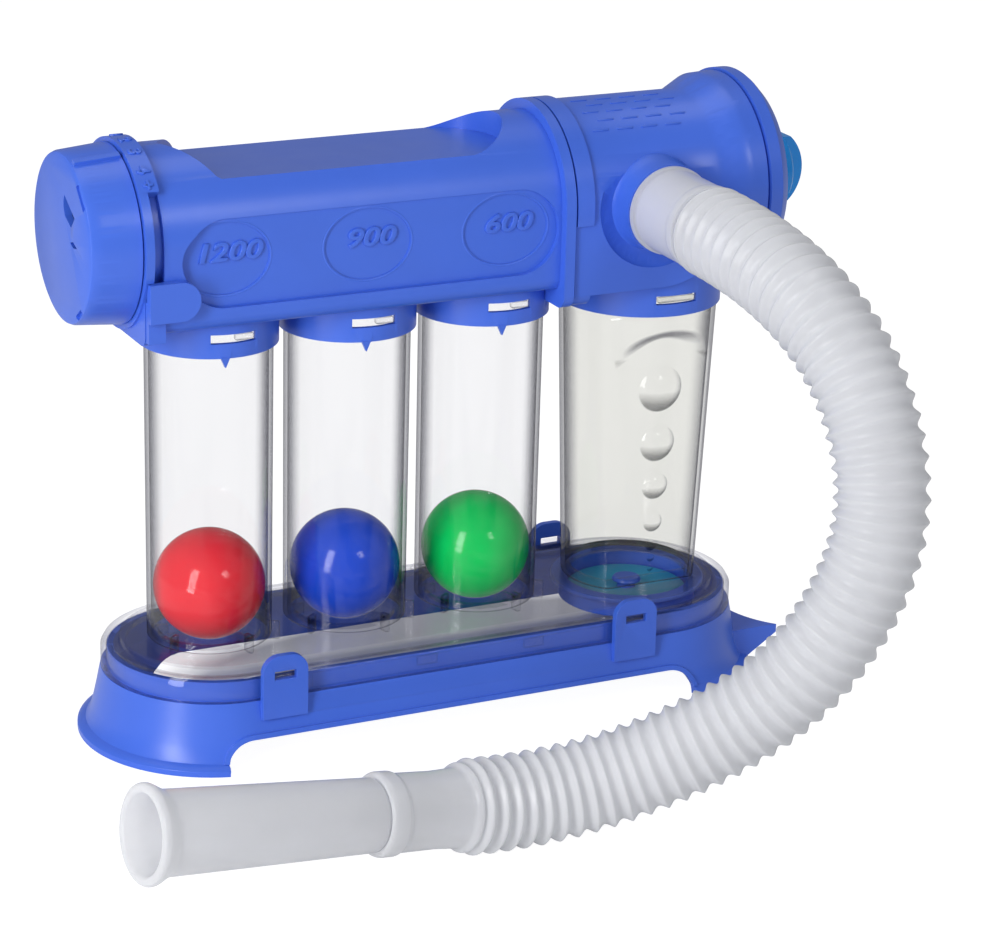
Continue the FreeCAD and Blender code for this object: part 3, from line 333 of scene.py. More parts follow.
def grid_mesh(name, points, wrap_rows=False, wrap_columns=True):
    """Mesh of a grid of points (rows, columns, 3), with its faces turned outwards."""
    rows, columns = points.shape[:2]
    index = np.arange(rows * columns).reshape(rows, columns)
    row, column = np.meshgrid(np.arange(rows if wrap_rows else rows - 1),
                              np.arange(columns if wrap_columns else columns - 1), indexing="ij")
    below, beside = (row + 1) % rows, (column + 1) % columns
    quads = np.stack([index[row, column], index[row, beside], index[below, beside], index[below, column]], -1)
    mesh = bpy.data.meshes.new(name)
    mesh.from_pydata(points.reshape(-1, 3).tolist(), [], quads.reshape(-1, 4).tolist())
    return tidied(mesh)


def tidied(mesh):
    """Merge doubles, then turn faces outwards and shade them smooth."""
    work = bmesh.new()
    work.from_mesh(mesh)
    bmesh.ops.remove_doubles(work, verts=work.verts, dist=0.002 * MM)
    bmesh.ops.recalc_face_normals(work, faces=work.faces)
    for face in work.faces:
        face.smooth = True
    work.to_mesh(mesh)
    work.free()
    return mesh


def piece_of(name, mesh, material, body, slot, *replaced):
    """Object of a mesh, dressed, riding on its body and standing for its CAD nodes."""
    piece = bpy.data.objects.new(name, mesh)
    bpy.context.scene.collection.objects.link(piece)
    mesh.materials.clear()
    mesh.materials.append(finish_of(material))
    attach(piece, body)
    if replaced:
        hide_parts(*replaced)
    return piece


def softened(corners, radius, steps=5):
    """Closed outline whose corners are bridged by parabolas that start radius before each corner."""
    corners = np.asarray(corners, float)
    radius = np.broadcast_to(np.asarray(radius, float), len(corners))
    t = np.linspace(0, 1, steps)[None, :, None]
    ends = []
    for neighbour in (np.roll(corners, 1, 0), np.roll(corners, -1, 0)):
        away = neighbour - corners
        span = np.linalg.norm(away, axis=1)
        ends.append(corners + away * (np.minimum(radius, 0.45 * span) / span)[:, None])
    start, stop = ends[0][:, None], ends[1][:, None]
    curve = (1 - t) ** 2 * start + 2 * t * (1 - t) * corners[:, None] + t ** 2 * stop
    return curve.reshape(-1, corners.shape[1])


def turned(outline, origin, axis, steps=128):
    """Closed outline of (distance along the axis, radius) pairs turned about the axis: each point is
    origin + along * axis + radius * (cos a * side + sin a * other side)."""
    axis = np.asarray(axis, float) / np.linalg.norm(axis)
    side = np.cross(axis, (0, 0, 1.0)) if abs(axis[2]) < 0.9 else np.array([1.0, 0, 0])
    side = side / np.linalg.norm(side)
    other = np.cross(axis, side)
    angle = np.linspace(0, 2 * np.pi, steps, endpoint=False)[None, :, None]
    along, radius = (np.asarray(outline)[:, i, None, None] for i in (0, 1))
    around = np.cos(angle) * side + np.sin(angle) * other
    return np.asarray(origin, float) + along * axis + radius * around


def block_mesh(name, low, high, radius):
    """Box with every edge rounded."""
    work = bmesh.new()
    bmesh.ops.create_cube(work, size=1.0)
    low, high = Vector(low), Vector(high)
    bmesh.ops.transform(work, matrix=Matrix.Diagonal((*(high - low), 1.0)), verts=work.verts)
    bmesh.ops.translate(work, vec=(low + high) / 2, verts=work.verts)
    bmesh.ops.bevel(work, geom=work.edges[:] + work.verts[:], offset=radius, segments=3, profile=0.5,
                    affect="EDGES")
    mesh = bpy.data.meshes.new(name)
    work.to_mesh(mesh)
    work.free()
    return tidied(mesh)


def joined(name, meshes):
    """One mesh of several."""
    work = bmesh.new()
    for mesh in meshes:
        work.from_mesh(mesh)
        bpy.data.meshes.remove(mesh)
    mesh = bpy.data.meshes.new(name)
    work.to_mesh(mesh)
    work.free()
    return mesh


def middle(node):
    """Middle of a CAD node's box at rest."""
    low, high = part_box(node)
    return np.array((low + high) / 2)


def dressed_copy(node, material, body, slot, rounding=None, sharp=35.0):
    """Copy of a CAD node with its loose triangles merged, flat areas made one face, and its edges
    rounded so that they catch the light."""
    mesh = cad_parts[node].data.copy()
    work = bmesh.new()
    work.from_mesh(mesh)
    bmesh.ops.remove_doubles(work, verts=work.verts, dist=0.001 * MM)
    bmesh.ops.dissolve_limit(work, angle_limit=math.radians(0.4), verts=work.verts, edges=work.edges)
    for face in work.faces:
        face.smooth = True
    for edge in work.edges:
        edge.smooth = edge.calc_face_angle(0.0) < math.radians(sharp)
    work.to_mesh(mesh)
    work.free()
    piece = piece_of(node + "_skin", mesh, material, body, slot, node)
    width = sizes().edge_round if rounding is None else rounding
    if width:
        bevel = piece.modifiers.new("edge rounding", "BEVEL")
        bevel.width = width
        bevel.segments = 2
        bevel.limit_method = "ANGLE"
        bevel.angle_limit = math.radians(sharp)
        bevel.use_clamp_overlap = True
        bevel.harden_normals = True
        bevel.miter_outer = "MITER_ARC"
    return piece


# Hose and what is on it

HOSE_ROUTE = [
    (52.45, -48.73, 144.2),
    (52.45, -84.73, 144.2),
    (59.35, -117.73, 124),
    (60.85, -132.73, 89),
    (48.35, -127.23, 53),
    (26.35, -113.73, 28),
    (-14.15, -97.73, 10.3),
    (-42.65, -100.73, 14.5),
]


def route_line():
    """Points read from the hose's route, a smooth spline with the route's points as control points."""
    curve = bpy.data.curves.new("hose_route", "CURVE")
    curve.dimensions = "3D"
    curve.resolution_u = 48
    spline = curve.splines.new("NURBS")
    spline.points.add(len(HOSE_ROUTE) - 1)
    for point, place in zip(spline.points, HOSE_ROUTE):
        point.co = (*(value * MM for value in place), 1.0)
    spline.order_u = 3
    spline.use_endpoint_u = True
    holder = bpy.data.objects.new("hose_route", curve)
    line = bpy.data.meshes.new_from_object(holder)
    points = np.empty(len(line.vertices) * 3)
    line.vertices.foreach_get("co", points)
    bpy.data.objects.remove(holder)
    bpy.data.curves.remove(curve)
    bpy.data.meshes.remove(line)
    return points.reshape(-1, 3)


def run_of(line):
    """Distance along a line at each of its points."""
    return np.concatenate([[0.0], np.cumsum(np.linalg.norm(np.diff(line, axis=0), axis=1))])


def sections(line):
    """Two unit vectors across the line at each point, turned as little as possible from one to the next."""
    tangent = np.gradient(line, axis=0)
    tangent /= np.linalg.norm(tangent, axis=1)[:, None]
    normal = np.empty_like(line)
    normal[0] = np.cross(tangent[0], (1.0, 0, 0))
    for i in range(1, len(line)):
        across = normal[i - 1] - tangent[i] * (normal[i - 1] @ tangent[i])
        normal[i] = across / np.linalg.norm(across)
    return normal, np.cross(tangent, normal)


def make_hose():
    """Corrugated hose: at distance s the outside radius is the crest's radius less the ridge height times
    ((1 + cos(2 pi s / pitch)) / 2) to the power 0.7, which gives tight crests and wide round grooves."""
    size = sizes()
    line = route_line()
    run = run_of(line)
    steps_per_ridge = 12
    ridges = round(run[-1] / size.ridge_pitch)
    s = np.linspace(0, run[-1], ridges * steps_per_ridge + 1)
    path = np.stack([np.interp(s, run, line[:, i]) for i in range(3)], 1)
    # The rings stand closer than the line's own points, so the short straights between those are evened out.
    for _ in range(3):
        path[1:-1] = (path[:-2] + 2 * path[1:-1] + path[2:]) / 4
    normal, binormal = sections(path)
    crest_power = 0.7
    wave = (0.5 + 0.5 * np.cos(2 * np.pi * s * ridges / run[-1])) ** crest_power
    outside = size.hose_diameter / 2 - size.ridge_height * wave
    inside = outside - size.hose_wall
    radius = np.concatenate([outside, inside[::-1]])[:, None, None]
    order = np.concatenate([np.arange(len(s)), np.arange(len(s))[::-1]])
    steps_around = 72
    angle = np.linspace(0, 2 * np.pi, steps_around, endpoint=False)[None, :, None]
    ring = np.cos(angle) * normal[order][:, None] + np.sin(angle) * binormal[order][:, None]
    points = path[order][:, None] + radius * ring
    hose = piece_of("corrugated_hose", grid_mesh("corrugated_hose", points, wrap_rows=True), "milky_hose",
                    "device", "milky_plastic", "hose")
    return hose, line, run[-1]


def cone_outline(stations, bore, rounding):
    """Closed outline of a tube: stations are (distance, outside radius), bore (distance, inside radius)."""
    return softened(np.array(list(stations) + list(bore)[::-1]) * MM, rounding * MM)


def make_port_cuff():
    """Plain soft cuff pushed on the port, with a rolled lip towards the duct."""
    low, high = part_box("port_cuff")
    start = (middle("port_cuff")[0], high.y, middle("port_cuff")[2])
    reach = (high.y - low.y) / MM
    outline = cone_outline([(0, 12.3), (2.2, 12.3), (3.0, 11.7), (reach - 4.0, 11.7), (reach - 2.6, 12.0),
                            (reach, 12.0)], [(0, 10.2), (reach, 10.2)], 0.5)
    sleeve = grid_mesh("port_cuff_sleeve", turned(outline, start, (0, -1, 0)), True)
    return piece_of("port_cuff_sleeve", sleeve, "milky_cuff", "device", "milky_plastic", "port_cuff")


def make_mouth_cuff(end, direction):
    """Straight cuff at the hose's end with a ridge ring at its mouth."""
    outline = cone_outline(
        [(0, 11.6), (1.2, 11.6), (2.4, 10.3), (9.0, 9.95), (20.6, 10.15), (21.6, 10.85), (25.4, 10.9),
         (26.4, 10.4)],
        [(0, 8.98), (26.4, 8.98)], 0.7)
    sleeve = grid_mesh("mouth_cuff_sleeve", turned(outline, end, direction), True)
    return piece_of("mouth_cuff_sleeve", sleeve, "milky_cuff", "device", "milky_plastic", "mouth_cuff")


def make_mouthpiece(end, direction):
    """Tapered barrel that widens to a thick round lip, pushed into the cuff."""
    hose_end_to_barrel = 12.4 * MM
    start = end + direction * hose_end_to_barrel
    outline = cone_outline(
        [(0, 8.85), (14.2, 8.88), (14.4, 9.5), (45, 10.15), (73.4, 10.75), (76.2, 12.2), (77.2, 12.7),
         (78.4, 12.65), (79.0, 12.0)],
        [(0, 7.6), (14, 7.6), (45, 8.5), (75, 9.3), (79.0, 10.3)], 0.9)
    barrel = grid_mesh("mouthpiece_barrel", turned(outline, start, direction), True)
    return piece_of("mouthpiece_barrel", barrel, "milky_cuff", "device", "milky_plastic", "mouthpiece")


# Clear parts

def window_lug(node, low, high):
    """Snap lug that shows in the collar's window over a column, between two corners (across, height)."""
    depth, rounding = 2.0 * MM, 0.3 * MM
    centre = middle(node)
    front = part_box(node)[0].y
    return block_mesh(node + "_lug", (centre[0] + low[0] * MM, front, low[1] * MM),
                      (centre[0] + high[0] * MM, front + depth, high[1] * MM), rounding)


def make_column(node, ball):
    """Slightly tapered clear tube with a small rounded foot."""
    low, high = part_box(node)
    centre = middle(ball)
    top = (high.x - low.x) / 2
    foot = top - 0.25 * MM
    wall = sizes().column_wall
    floor = low.z + 0.03 * MM
    outline = softened([(floor, foot - wall), (floor, foot), (high.z, top), (high.z, top - wall)],
                       np.array([0.2, 0.8, 0.3, 0.3]) * MM)
    tube = grid_mesh(node, turned(outline, (centre[0], centre[1], 0), (0, 0, 1)), True)
    lug = window_lug(node, (0.6, 116.8), (5.85, 118.4))
    return piece_of(node + "_clear", joined(node, [tube, lug]), "clear_styrene", "device", "clear_plastic",
                    node)


def make_fins():
    """Small clear fins on the tray that steady each column's foot."""
    low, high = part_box("column_tube_1")
    foot = (high.x - low.x) / 2
    half_thickness, height, rounding = 0.7 * MM, 5.2 * MM, 0.3 * MM
    inner, outer = foot - 0.3 * MM, foot + 2.6 * MM
    for number, ball in enumerate(BALLS, 1):
        centre = middle(ball)
        fins = []
        for degrees in (-76, -38, -142):
            fin = block_mesh("fin", (inner, -half_thickness, 0), (outer, half_thickness, height), rounding)
            turn = math.radians(degrees)
            fins.append(placed(fin, lambda p: np.stack([
                centre[0] + p[:, 0] * math.cos(turn) - p[:, 1] * math.sin(turn),
                centre[1] + p[:, 0] * math.sin(turn) + p[:, 1] * math.cos(turn),
                TRAY_TOP * MM + p[:, 2]], 1)))
        piece_of("fins_%d" % number, joined("fins", fins), "clear_styrene", "device", "clear_plastic")


# Balls

def make_ball(node, body):
    """Sphere with a shallow moulding seam: the radius drops by the seam's depth times a bell curve of the
    height over the equator."""
    low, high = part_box(node)
    centre = middle(node)
    radius = (high.z - low.z) / 2
    seam_depth, seam_width = 0.06 * MM, 0.35 * MM
    latitude = np.linspace(-np.pi / 2, np.pi / 2, 121)[:, None]
    longitude = np.linspace(0, 2 * np.pi, 144, endpoint=False)[None, :]
    tilt = 0.35
    direction = np.stack([np.cos(latitude) * np.cos(longitude), np.cos(latitude) * np.sin(longitude),
                          np.sin(latitude) + 0 * longitude], -1)
    height = direction @ np.array([math.sin(tilt), 0, math.cos(tilt)]) * radius
    reach = radius - seam_depth * np.exp(-(height / seam_width) ** 2)
    points = centre + direction * reach[..., None]
    return piece_of(node + "_shell", grid_mesh(node, points), "polished_" + node.split("_")[1], body,
                    node.split("_")[1] + "_ball", node)


# Chamber

# Height and diameter of each
CHAMBER_BUBBLES = [(87.2, 13.7), (70.8, 11.0), (57.8, 8.2), (46.6, 6.0), (39.6, 3.8), (35.5, 2.5),
                   (32.2, 2.0)]


def chamber_surface(centre, z, angle, outer):
    """Surface of the chamber: a cone, cut back inside the arch to a tilted flat, with round caps on the flat.
    At angle a from the front the radius is the lesser of the cone's and the flat's distance over cos a,
    blended over the arch's draft. A cap's height over the flat is that of a sphere through its rim."""
    foot_z, shoulder_z, crown, spring, half, draft = 27.4, 110.0, 104.0, 91.0, 16.4, 4.8
    foot_radius, shoulder_radius, neck_radius = 19.4, 22.5, 22.0
    flat_foot, flat_lean = 13.7, 2.3
    wall = 0.0 if outer else sizes().chamber_wall / MM
    cone = foot_radius + (shoulder_radius - foot_radius) * (z - foot_z) / (shoulder_z - foot_z) - wall
    cone = np.where(z > shoulder_z, neck_radius - wall, cone)
    flat = flat_foot + flat_lean * (z - foot_z) / (crown - foot_z) - wall
    across = np.abs(cone * np.sin(angle))
    bulge = (crown - spring) * np.sqrt(np.clip(1 - (across / half) ** 2, 0, 1))
    edge = spring + bulge - z
    inside = np.clip((edge + draft / 2) / draft, 0, 1)
    inside = inside * inside * (3 - 2 * inside)
    ahead = np.cos(angle)
    cut = np.where(ahead > 0.2, np.minimum(cone, flat / np.maximum(ahead, 0.2)), cone)
    radius = cone + (cut - cone) * inside
    x, y = radius * np.sin(angle), -radius * ahead
    if outer:
        for height, diameter in CHAMBER_BUBBLES:
            rise = 0.25 * diameter
            sphere = (diameter ** 2 / 4 + rise ** 2) / (2 * rise)
            away = x ** 2 + (z - height) ** 2
            cap = np.sqrt(np.maximum(sphere ** 2 - away, 0)) - (sphere - rise)
            y = y - np.where(ahead > 0, np.maximum(cap, 0), 0)
    return np.stack([centre[0] / MM + x, centre[1] / MM + y, z + 0 * x], -1) * MM


def make_chamber():
    """Wider clear chamber with an arch-topped flat front that carries bubbles graded in size."""
    node = "chamber_tube"
    low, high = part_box(node)
    centre = middle("valve_disc")
    front = np.radians(48)
    angle = np.concatenate([np.linspace(-front, front, 220, endpoint=False),
                            np.linspace(front, 2 * np.pi - front, 120, endpoint=False)])[None, :]
    z = np.concatenate([np.linspace(low.z / MM + 0.03, 104.5, 300), np.linspace(104.9, 109.9, 6),
                        np.linspace(110.1, high.z / MM, 8)])[:, None]
    outside = chamber_surface(centre, z, angle, True)
    inside = chamber_surface(centre, z[::-1], angle, False)
    points = np.concatenate([outside, inside])
    tube = grid_mesh(node, points, True)
    lug = window_lug(node, (-5.7, 114.85), (5.7, 116.35))
    return piece_of("chamber_clear", joined(node, [tube, lug]), "chamber_styrene", "device", "clear_plastic",
                    node)


# Numbers and dashes

def number_mesh(text, height, relief, shear=0.0):
    """Mesh of raised figures, centred in its own plane: x across, y up, z out of the surface."""
    curve = bpy.data.curves.new("figures", "FONT")
    curve.body = text
    curve.size = height / 0.7
    curve.shear = shear
    curve.extrude = relief
    curve.bevel_depth = 0.15 * MM
    curve.bevel_resolution = 2
    curve.offset = 0.05 * MM
    curve.align_x = "CENTER"
    curve.align_y = "CENTER"
    holder = bpy.data.objects.new("figures", curve)
    mesh = bpy.data.meshes.new_from_object(holder)
    bpy.data.objects.remove(holder)
    bpy.data.curves.remove(curve)
    return mesh


def placed(mesh, place):
    """Move every point of a mesh by a function of its whole coordinate array."""
    points = np.empty(len(mesh.vertices) * 3)
    mesh.vertices.foreach_get("co", points)
    mesh.vertices.foreach_set("co", place(points.reshape(-1, 3)).ravel())
    mesh.update()
    return tidied(mesh)


def make_panel_numbers():
    """Plain flow numbers on the duct's ovals, one beside each column's axis."""
    size = sizes()
    slant, widening = 0.2, 1.35
    beside_axis, height = -3.2 * MM, 142.2 * MM
    for ball, text in zip(BALLS, ("1200", "900", "600")):
        centre = middle(ball)
        face = centre[1] - (DUCT_RADIUS - PANEL_DEPTH) * MM
        figures = number_mesh(text, size.number_height, size.number_relief / 2, slant)
        placed(figures, lambda p: np.stack([centre[0] + beside_axis + p[:, 0] * widening, face - p[:, 2],
                                            height + p[:, 1]], 1))
        piece_of("number_" + text, figures, "blue_polypropylene", "device", "blue_plastic")


def make_oval_rims():
    """Raised rim round each oval: at angle a and at angle b round its section, a point is at
    ((half width + rim * cos b) * cos a, (half height + rim * cos b) * sin a) on the panel, and
    rim * sin b off it."""
    a = np.linspace(0, 2 * np.pi, 96, endpoint=False)[:, None]
    b = np.linspace(0, 2 * np.pi, 12, endpoint=False)[None, :]
    half_width, half_height, rim = 12.9 * MM, 10.15 * MM, 0.45 * MM
    for ball in BALLS:
        centre = middle(ball)
        face = centre[1] - (DUCT_RADIUS - PANEL_DEPTH) * MM
        x = centre[0] + OVAL_MIDDLE[0] * MM + (half_width + rim * np.cos(b)) * np.cos(a)
        z = OVAL_MIDDLE[1] * MM + (half_height + rim * np.cos(b)) * np.sin(a)
        points = np.stack([x, face - rim * np.sin(b) + 0 * x, z], -1)
        piece_of("oval_rim_" + ball, grid_mesh("oval_rim", points, True), "blue_polypropylene", "device",
                 "blue_plastic")


def wrapped(mesh, x, radius, middle_angle):
    """Lay flat figures on a cylinder about the duct's axis, on their side: up becomes along the axis and
    across becomes distance round it, towards the front."""
    axis_y = middle("flow_dial")[1]
    axis_z = AXIS_Z * MM

    def place(p):
        angle = middle_angle + p[:, 0] / radius
        out = radius + p[:, 2]
        return np.stack([x + p[:, 1], axis_y - out * np.sin(angle), axis_z + out * np.cos(angle)], 1)

    return placed(mesh, place)


def make_ring_numbers():
    """Figures of the dial's scale, in a row round the front of its ring."""
    low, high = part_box("scale_ring")
    x = (low.x + high.x) / 2
    radius = (high.y - low.y) / 2
    height, half_relief = 3.3 * MM, 0.25 * MM
    marks = [("1", -11), ("2", 5), ("3", 21), ("4", 37), ("+", 47.5)]
    meshes = [wrapped(number_mesh(text, height, half_relief), x, radius, math.radians(angle))
              for text, angle in marks]
    piece_of("ring_numbers", joined("ring_numbers", meshes), "blue_polypropylene", "device", "blue_plastic")


def make_housing_dashes():
    """Rows of short raised dashes, staggered, over the rear of the chamber's housing."""
    centre = middle("valve_disc")
    meshes = []
    radius = 25.0 * MM
    half_width, half_length, sunk, relief, rounding = (v * MM for v in (0.3, 2.4, 0.1, 0.22, 0.1))
    rows, columns = 5, 4
    first_row, row_turn = 4.0, 8.5
    first_column, pitch, stagger = 22.0, 7.5, 3.0
    for row in range(rows):
        angle = math.radians(first_row + row_turn * row)
        for column in range(columns):
            x = centre[0] - (first_column - pitch * column - stagger * (row % 2)) * MM
            bar = block_mesh("dash", (-half_width, -half_length, -sunk), (half_width, half_length, relief),
                             rounding)
            meshes.append(wrapped(bar, x, radius, angle))
    piece_of("housing_dashes", joined("housing_dashes", meshes), "blue_polypropylene", "device",
             "blue_plastic")


# Operators

class EXERCISER_OT_hose(bpy.types.Operator):
    """Make the corrugated hose, its cuffs and the mouthpiece"""
    bl_idname = "exerciser.hose"
    bl_label = "Hose"

    def execute(self, context):
        hose, line, reach = make_hose()
        direction = line[-1] - line[-2]
        direction /= np.linalg.norm(direction)
        on_it = [make_port_cuff(), make_mouth_cuff(line[-1], direction), make_mouthpiece(line[-1], direction)]
        return {"FINISHED"}


class EXERCISER_OT_balls(bpy.types.Operator):
    """Make the three coloured balls"""
    bl_idname = "exerciser.balls"
    bl_label = "Balls"

    def execute(self, context):
        for node, body in BALLS.items():
            make_ball(node, body)
        return {"FINISHED"}


class EXERCISER_OT_columns(bpy.types.Operator):
    """Make the three clear columns"""
    bl_idname = "exerciser.columns"
    bl_label = "Columns"

    def execute(self, context):
        for node, ball in zip(COLUMNS, BALLS):
            make_column(node, ball)
        make_fins()
        return {"FINISHED"}


class EXERCISER_OT_chamber(bpy.types.Operator):
    """Make the graded clear chamber"""
    bl_idname = "exerciser.chamber"
    bl_label = "Chamber"

    def execute(self, context):
        make_chamber()
        return {"FINISHED"}


class EXERCISER_OT_housings(bpy.types.Operator):
    """Dress the blue mouldings"""
    bl_idname = "exerciser.housings"
    bl_label = "Blue mouldings"

    def execute(self, context):
        for node in ("stand", "manifold_housing", "chamber_housing", "scale_ring", "ring_latch", "end_cap",
                     "valve_seat"):
            dressed_copy(node, "blue_polypropylene", "device", "blue_plastic")
        for node in ("flow_dial", "dial_sleeve"):
            dressed_copy(node, "blue_polypropylene", "dial", "blue_plastic")
        dressed_copy("selector_shutter", "blue_polypropylene", "selector", "blue_plastic")
        dressed_copy("selector_knob", "cyan_polypropylene", "selector", "cyan_plastic", 0.6 * MM)
        return {"FINISHED"}


class EXERCISER_OT_tray(bpy.types.Operator):
    """Dress the clear tray and the ball stops"""
    bl_idname = "exerciser.tray"
    bl_label = "Tray"

    def execute(self, context):
        dressed_copy("clear_tray", "tray_styrene", "device", "clear_plastic", 0.25 * MM)
        for number in (1, 2, 3):
            dressed_copy("ball_stop_%d" % number, "clear_styrene", "device", "clear_plastic", 0.15 * MM)
        return {"FINISHED"}


class EXERCISER_OT_valve(bpy.types.Operator):
    """Dress the one-way disc, the seals and the gasket"""
    bl_idname = "exerciser.valve"
    bl_label = "Disc and seals"

    def execute(self, context):
        dressed_copy("valve_disc", "silicone_film", "one_way_disc", "cyan_film", 0.15 * MM)
        for node in ("tube_seal_1", "tube_seal_2", "tube_seal_3", "chamber_seal", "joint_gasket"):
            dressed_copy(node, "nitrile_rubber", "device", "grey_rubber", 0.1 * MM)
        return {"FINISHED"}


class EXERCISER_OT_numbers(bpy.types.Operator):
    """Make the plain numbers on the duct"""
    bl_idname = "exerciser.numbers"
    bl_label = "Numbers"

    def execute(self, context):
        make_panel_numbers()
        make_oval_rims()
        make_ring_numbers()
        make_housing_dashes()
        return {"FINISHED"}


class EXERCISER_OT_stage(bpy.types.Operator):
    """Make the camera, the lamps and the pale floor"""
    bl_idname = "exerciser.stage"
    bl_label = "Stage"

    def execute(self, context):
        make_camera()
        make_lights()
        make_floor()
        return {"FINISHED"}


# Stage

LOOK_AT = np.array([18.43, 5.263, 65.08]) * MM


def make_camera():
    stage = bpy.context.scene.exerciser_stage
    a, e, r = stage.azimuth, stage.elevation, stage.roll
    back = np.array([math.sin(a) * math.cos(e), -math.cos(a) * math.cos(e), math.sin(e)])
    right = np.array([math.cos(a), math.sin(a), 0.0])
    up = np.cross(back, right)
    tilted_right = math.cos(r) * right + math.sin(r) * up
    tilted_up = -math.sin(r) * right + math.cos(r) * up
    data = bpy.data.cameras.new("camera")
    data.lens = stage.lens
    data.sensor_width = 36.0
    data.clip_start = 0.05
    data.clip_end = 20.0
    camera = bpy.data.objects.new("camera", data)
    bpy.context.scene.collection.objects.link(camera)
    turn = Matrix((tilted_right, tilted_up, back)).transposed()
    place = Vector(LOOK_AT + back * stage.distance)
    camera.matrix_world = Matrix.LocRotScale(place, turn.to_quaternion(), None)
    bpy.context.scene.camera = camera


def softbox(name, place, width, height, power):
    """Rectangular lamp that faces the object."""
    data = bpy.data.lights.new(name, "AREA")
    data.shape = "RECTANGLE"
    data.size, data.size_y = width, height
    data.energy = power
    lamp = bpy.data.objects.new(name, data)
    lamp.location = place
    lamp.rotation_euler = (Vector(LOOK_AT) - Vector(place)).to_track_quat("-Z", "Y").to_euler()
    bpy.context.scene.collection.objects.link(lamp)


def make_lights():
    """Tall softbox at the left, a small one in front, a wide one above, and a white room."""
    softbox("left_softbox", (-0.95, -0.55, 0.45), 0.3, 0.9, 10.0)
    softbox("front_softbox", (0.3, -1.1, 0.8), 0.3, 0.3, 2.2)
    softbox("top_softbox", (0.0, 0.2, 1.1), 0.9, 0.5, 2.0)
    world = bpy.data.worlds.new("studio")
    bpy.context.scene.world = world
    world.use_nodes = True
    world.node_tree.nodes.clear()
    seen = seen_directly(world)
    strength = add_node(world, "ShaderNodeMapRange", {"Value": seen, "To Min": 0.3, "To Max": 1.0})
    light = add_node(world, "ShaderNodeBackground", {"Color": (1, 1, 1, 1), "Strength": strength.outputs[0]})
    add_node(world, "ShaderNodeOutputWorld", {"Surface": light.outputs[0]})


def seen_directly(holder):
    """1 for what the camera sees, straight or through something clear, and 0 for reflections and light."""
    path = add_node(holder, "ShaderNodeLightPath")
    return add_node(holder, "ShaderNodeMath", {0: path.outputs["Is Camera Ray"],
                                               1: path.outputs["Is Transmission Ray"]},
                    operation="MAXIMUM").outputs[0]


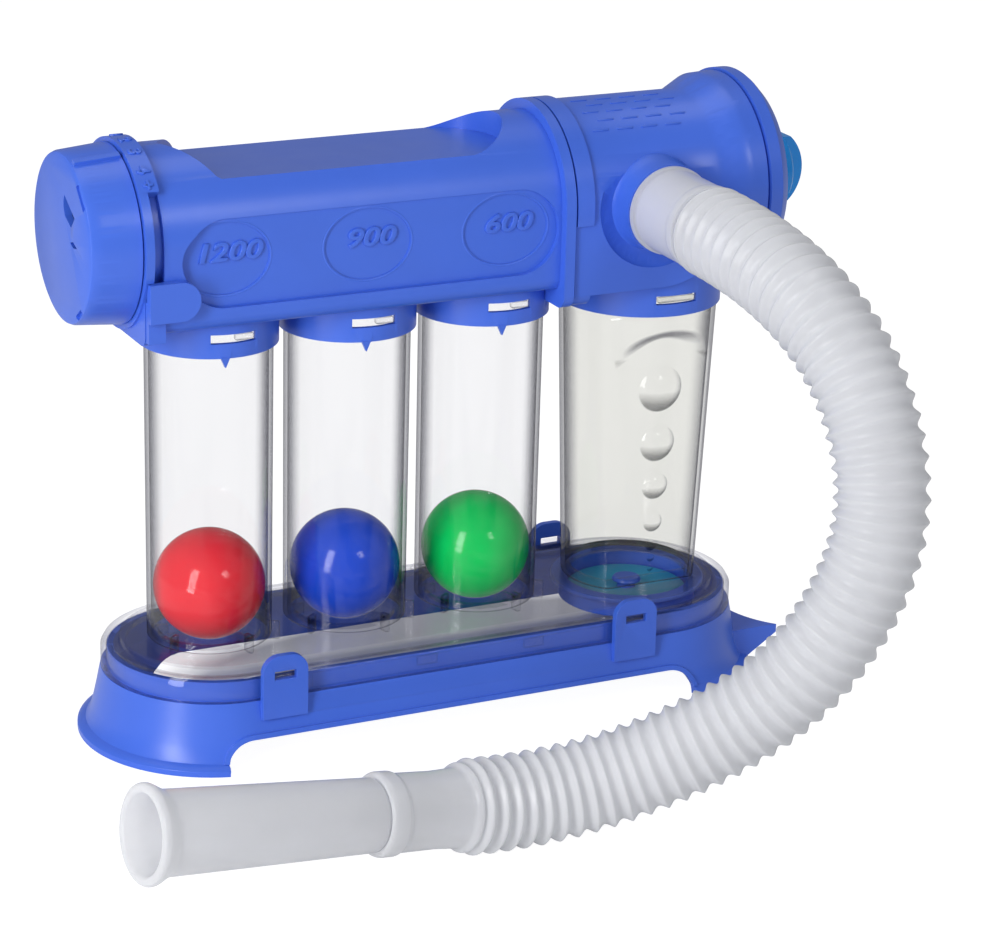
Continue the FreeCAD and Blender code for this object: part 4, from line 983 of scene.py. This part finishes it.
def make_floor():
    """Wide pale floor that glows to the camera, so that it is white and still keeps a soft shadow. Inside an
    ellipse round the foot, where it is seen through the clear tray, the glow fades out: a painted darkening,
    as deep as the floor's rendered shadow there."""
    reach = 4.0
    glow_strength, glow_share, fade = 1.26, 0.75, 0.2
    unlit_middle, unlit_half = (15.24 * MM, 29.93 * MM), (95.24 * MM, 34.01 * MM)
    mesh = bpy.data.meshes.new("floor")
    mesh.from_pydata([(-reach, -reach, 0), (reach, -reach, 0), (reach, reach, 0), (-reach, reach, 0)], [],
                     [(0, 1, 2, 3)])
    floor = bpy.data.objects.new("floor", mesh)
    bpy.context.scene.collection.objects.link(floor)
    material = new_material("pale_floor", tuple(bpy.context.scene.exerciser_stage.floor))
    tone = (*bpy.context.scene.exerciser_stage.floor, 1.0)
    matt = add_node(material, "ShaderNodeBsdfDiffuse", {"Color": tone})
    glow = add_node(material, "ShaderNodeEmission", {"Color": (1, 1, 1, 1), "Strength": glow_strength})
    # Painted shade: inside this ellipse round the foot the glow fades to nothing, so the floor darkens there
    # to its rendered shadow.
    place = add_node(material, "ShaderNodeTexCoord")
    unlit = add_node(material, "ShaderNodeMapping", {
        "Vector": place.outputs["Object"], "Scale": (1 / unlit_half[0], 1 / unlit_half[1], 1.0),
        "Location": (-unlit_middle[0] / unlit_half[0], -unlit_middle[1] / unlit_half[1], 0.0)})
    inside = add_node(material, "ShaderNodeTexGradient", {"Vector": unlit.outputs[0]},
                      gradient_type="SPHERICAL")
    glowing = add_node(material, "ShaderNodeMapRange", {
        "Value": inside.outputs[0], "From Min": 0.0, "From Max": fade, "To Min": glow_share, "To Max": 0.0})
    share = add_node(material, "ShaderNodeMath", {0: seen_directly(material), 1: glowing.outputs[0]},
                     operation="MULTIPLY")
    mix = add_node(material, "ShaderNodeMixShader",
                   {0: share.outputs[0], 1: matt.outputs[0], 2: glow.outputs[0]})
    show(material, mix)
    mesh.materials.append(material)


class EXERCISER_PT_panel(bpy.types.Panel):
    """Buttons for each piece of the exerciser"""
    bl_idname = "EXERCISER_PT_panel"
    bl_label = "Breathing exerciser"
    bl_space_type = "VIEW_3D"
    bl_region_type = "UI"
    bl_category = "Exerciser"

    def draw(self, context):
        scene = context.scene
        for group in (scene.exerciser_sizes, scene.exerciser_colours, scene.exerciser_stage):
            box = self.layout.box()
            for key in group.bl_rna.properties.keys():
                if key not in ("rna_type", "name"):
                    box.prop(group, key)
        for operator in OPERATORS:
            self.layout.operator(operator.bl_idname)


OPERATORS = (
    EXERCISER_OT_hose,
    EXERCISER_OT_balls,
    EXERCISER_OT_columns,
    EXERCISER_OT_chamber,
    EXERCISER_OT_housings,
    EXERCISER_OT_tray,
    EXERCISER_OT_valve,
    EXERCISER_OT_numbers,
    EXERCISER_OT_stage,
)
CLASSES = (ExerciserSizes, ExerciserColours, ExerciserStage, *OPERATORS, EXERCISER_PT_panel)


def register():
    for item in CLASSES:
        bpy.utils.register_class(item)
    bpy.types.Scene.exerciser_sizes = bpy.props.PointerProperty(type=ExerciserSizes)
    bpy.types.Scene.exerciser_colours = bpy.props.PointerProperty(type=ExerciserColours)
    bpy.types.Scene.exerciser_stage = bpy.props.PointerProperty(type=ExerciserStage)


def unregister():
    del bpy.types.Scene.exerciser_sizes
    del bpy.types.Scene.exerciser_colours
    del bpy.types.Scene.exerciser_stage
    for item in reversed(CLASSES):
        bpy.utils.unregister_class(item)


def main():
    register()
    bpy.context.scene.view_settings.view_transform = "Standard"
    for operator in OPERATORS:
        group, name = operator.bl_idname.split(".")
        getattr(getattr(bpy.ops, group), name)()


if __name__ == "__main__":
    main()
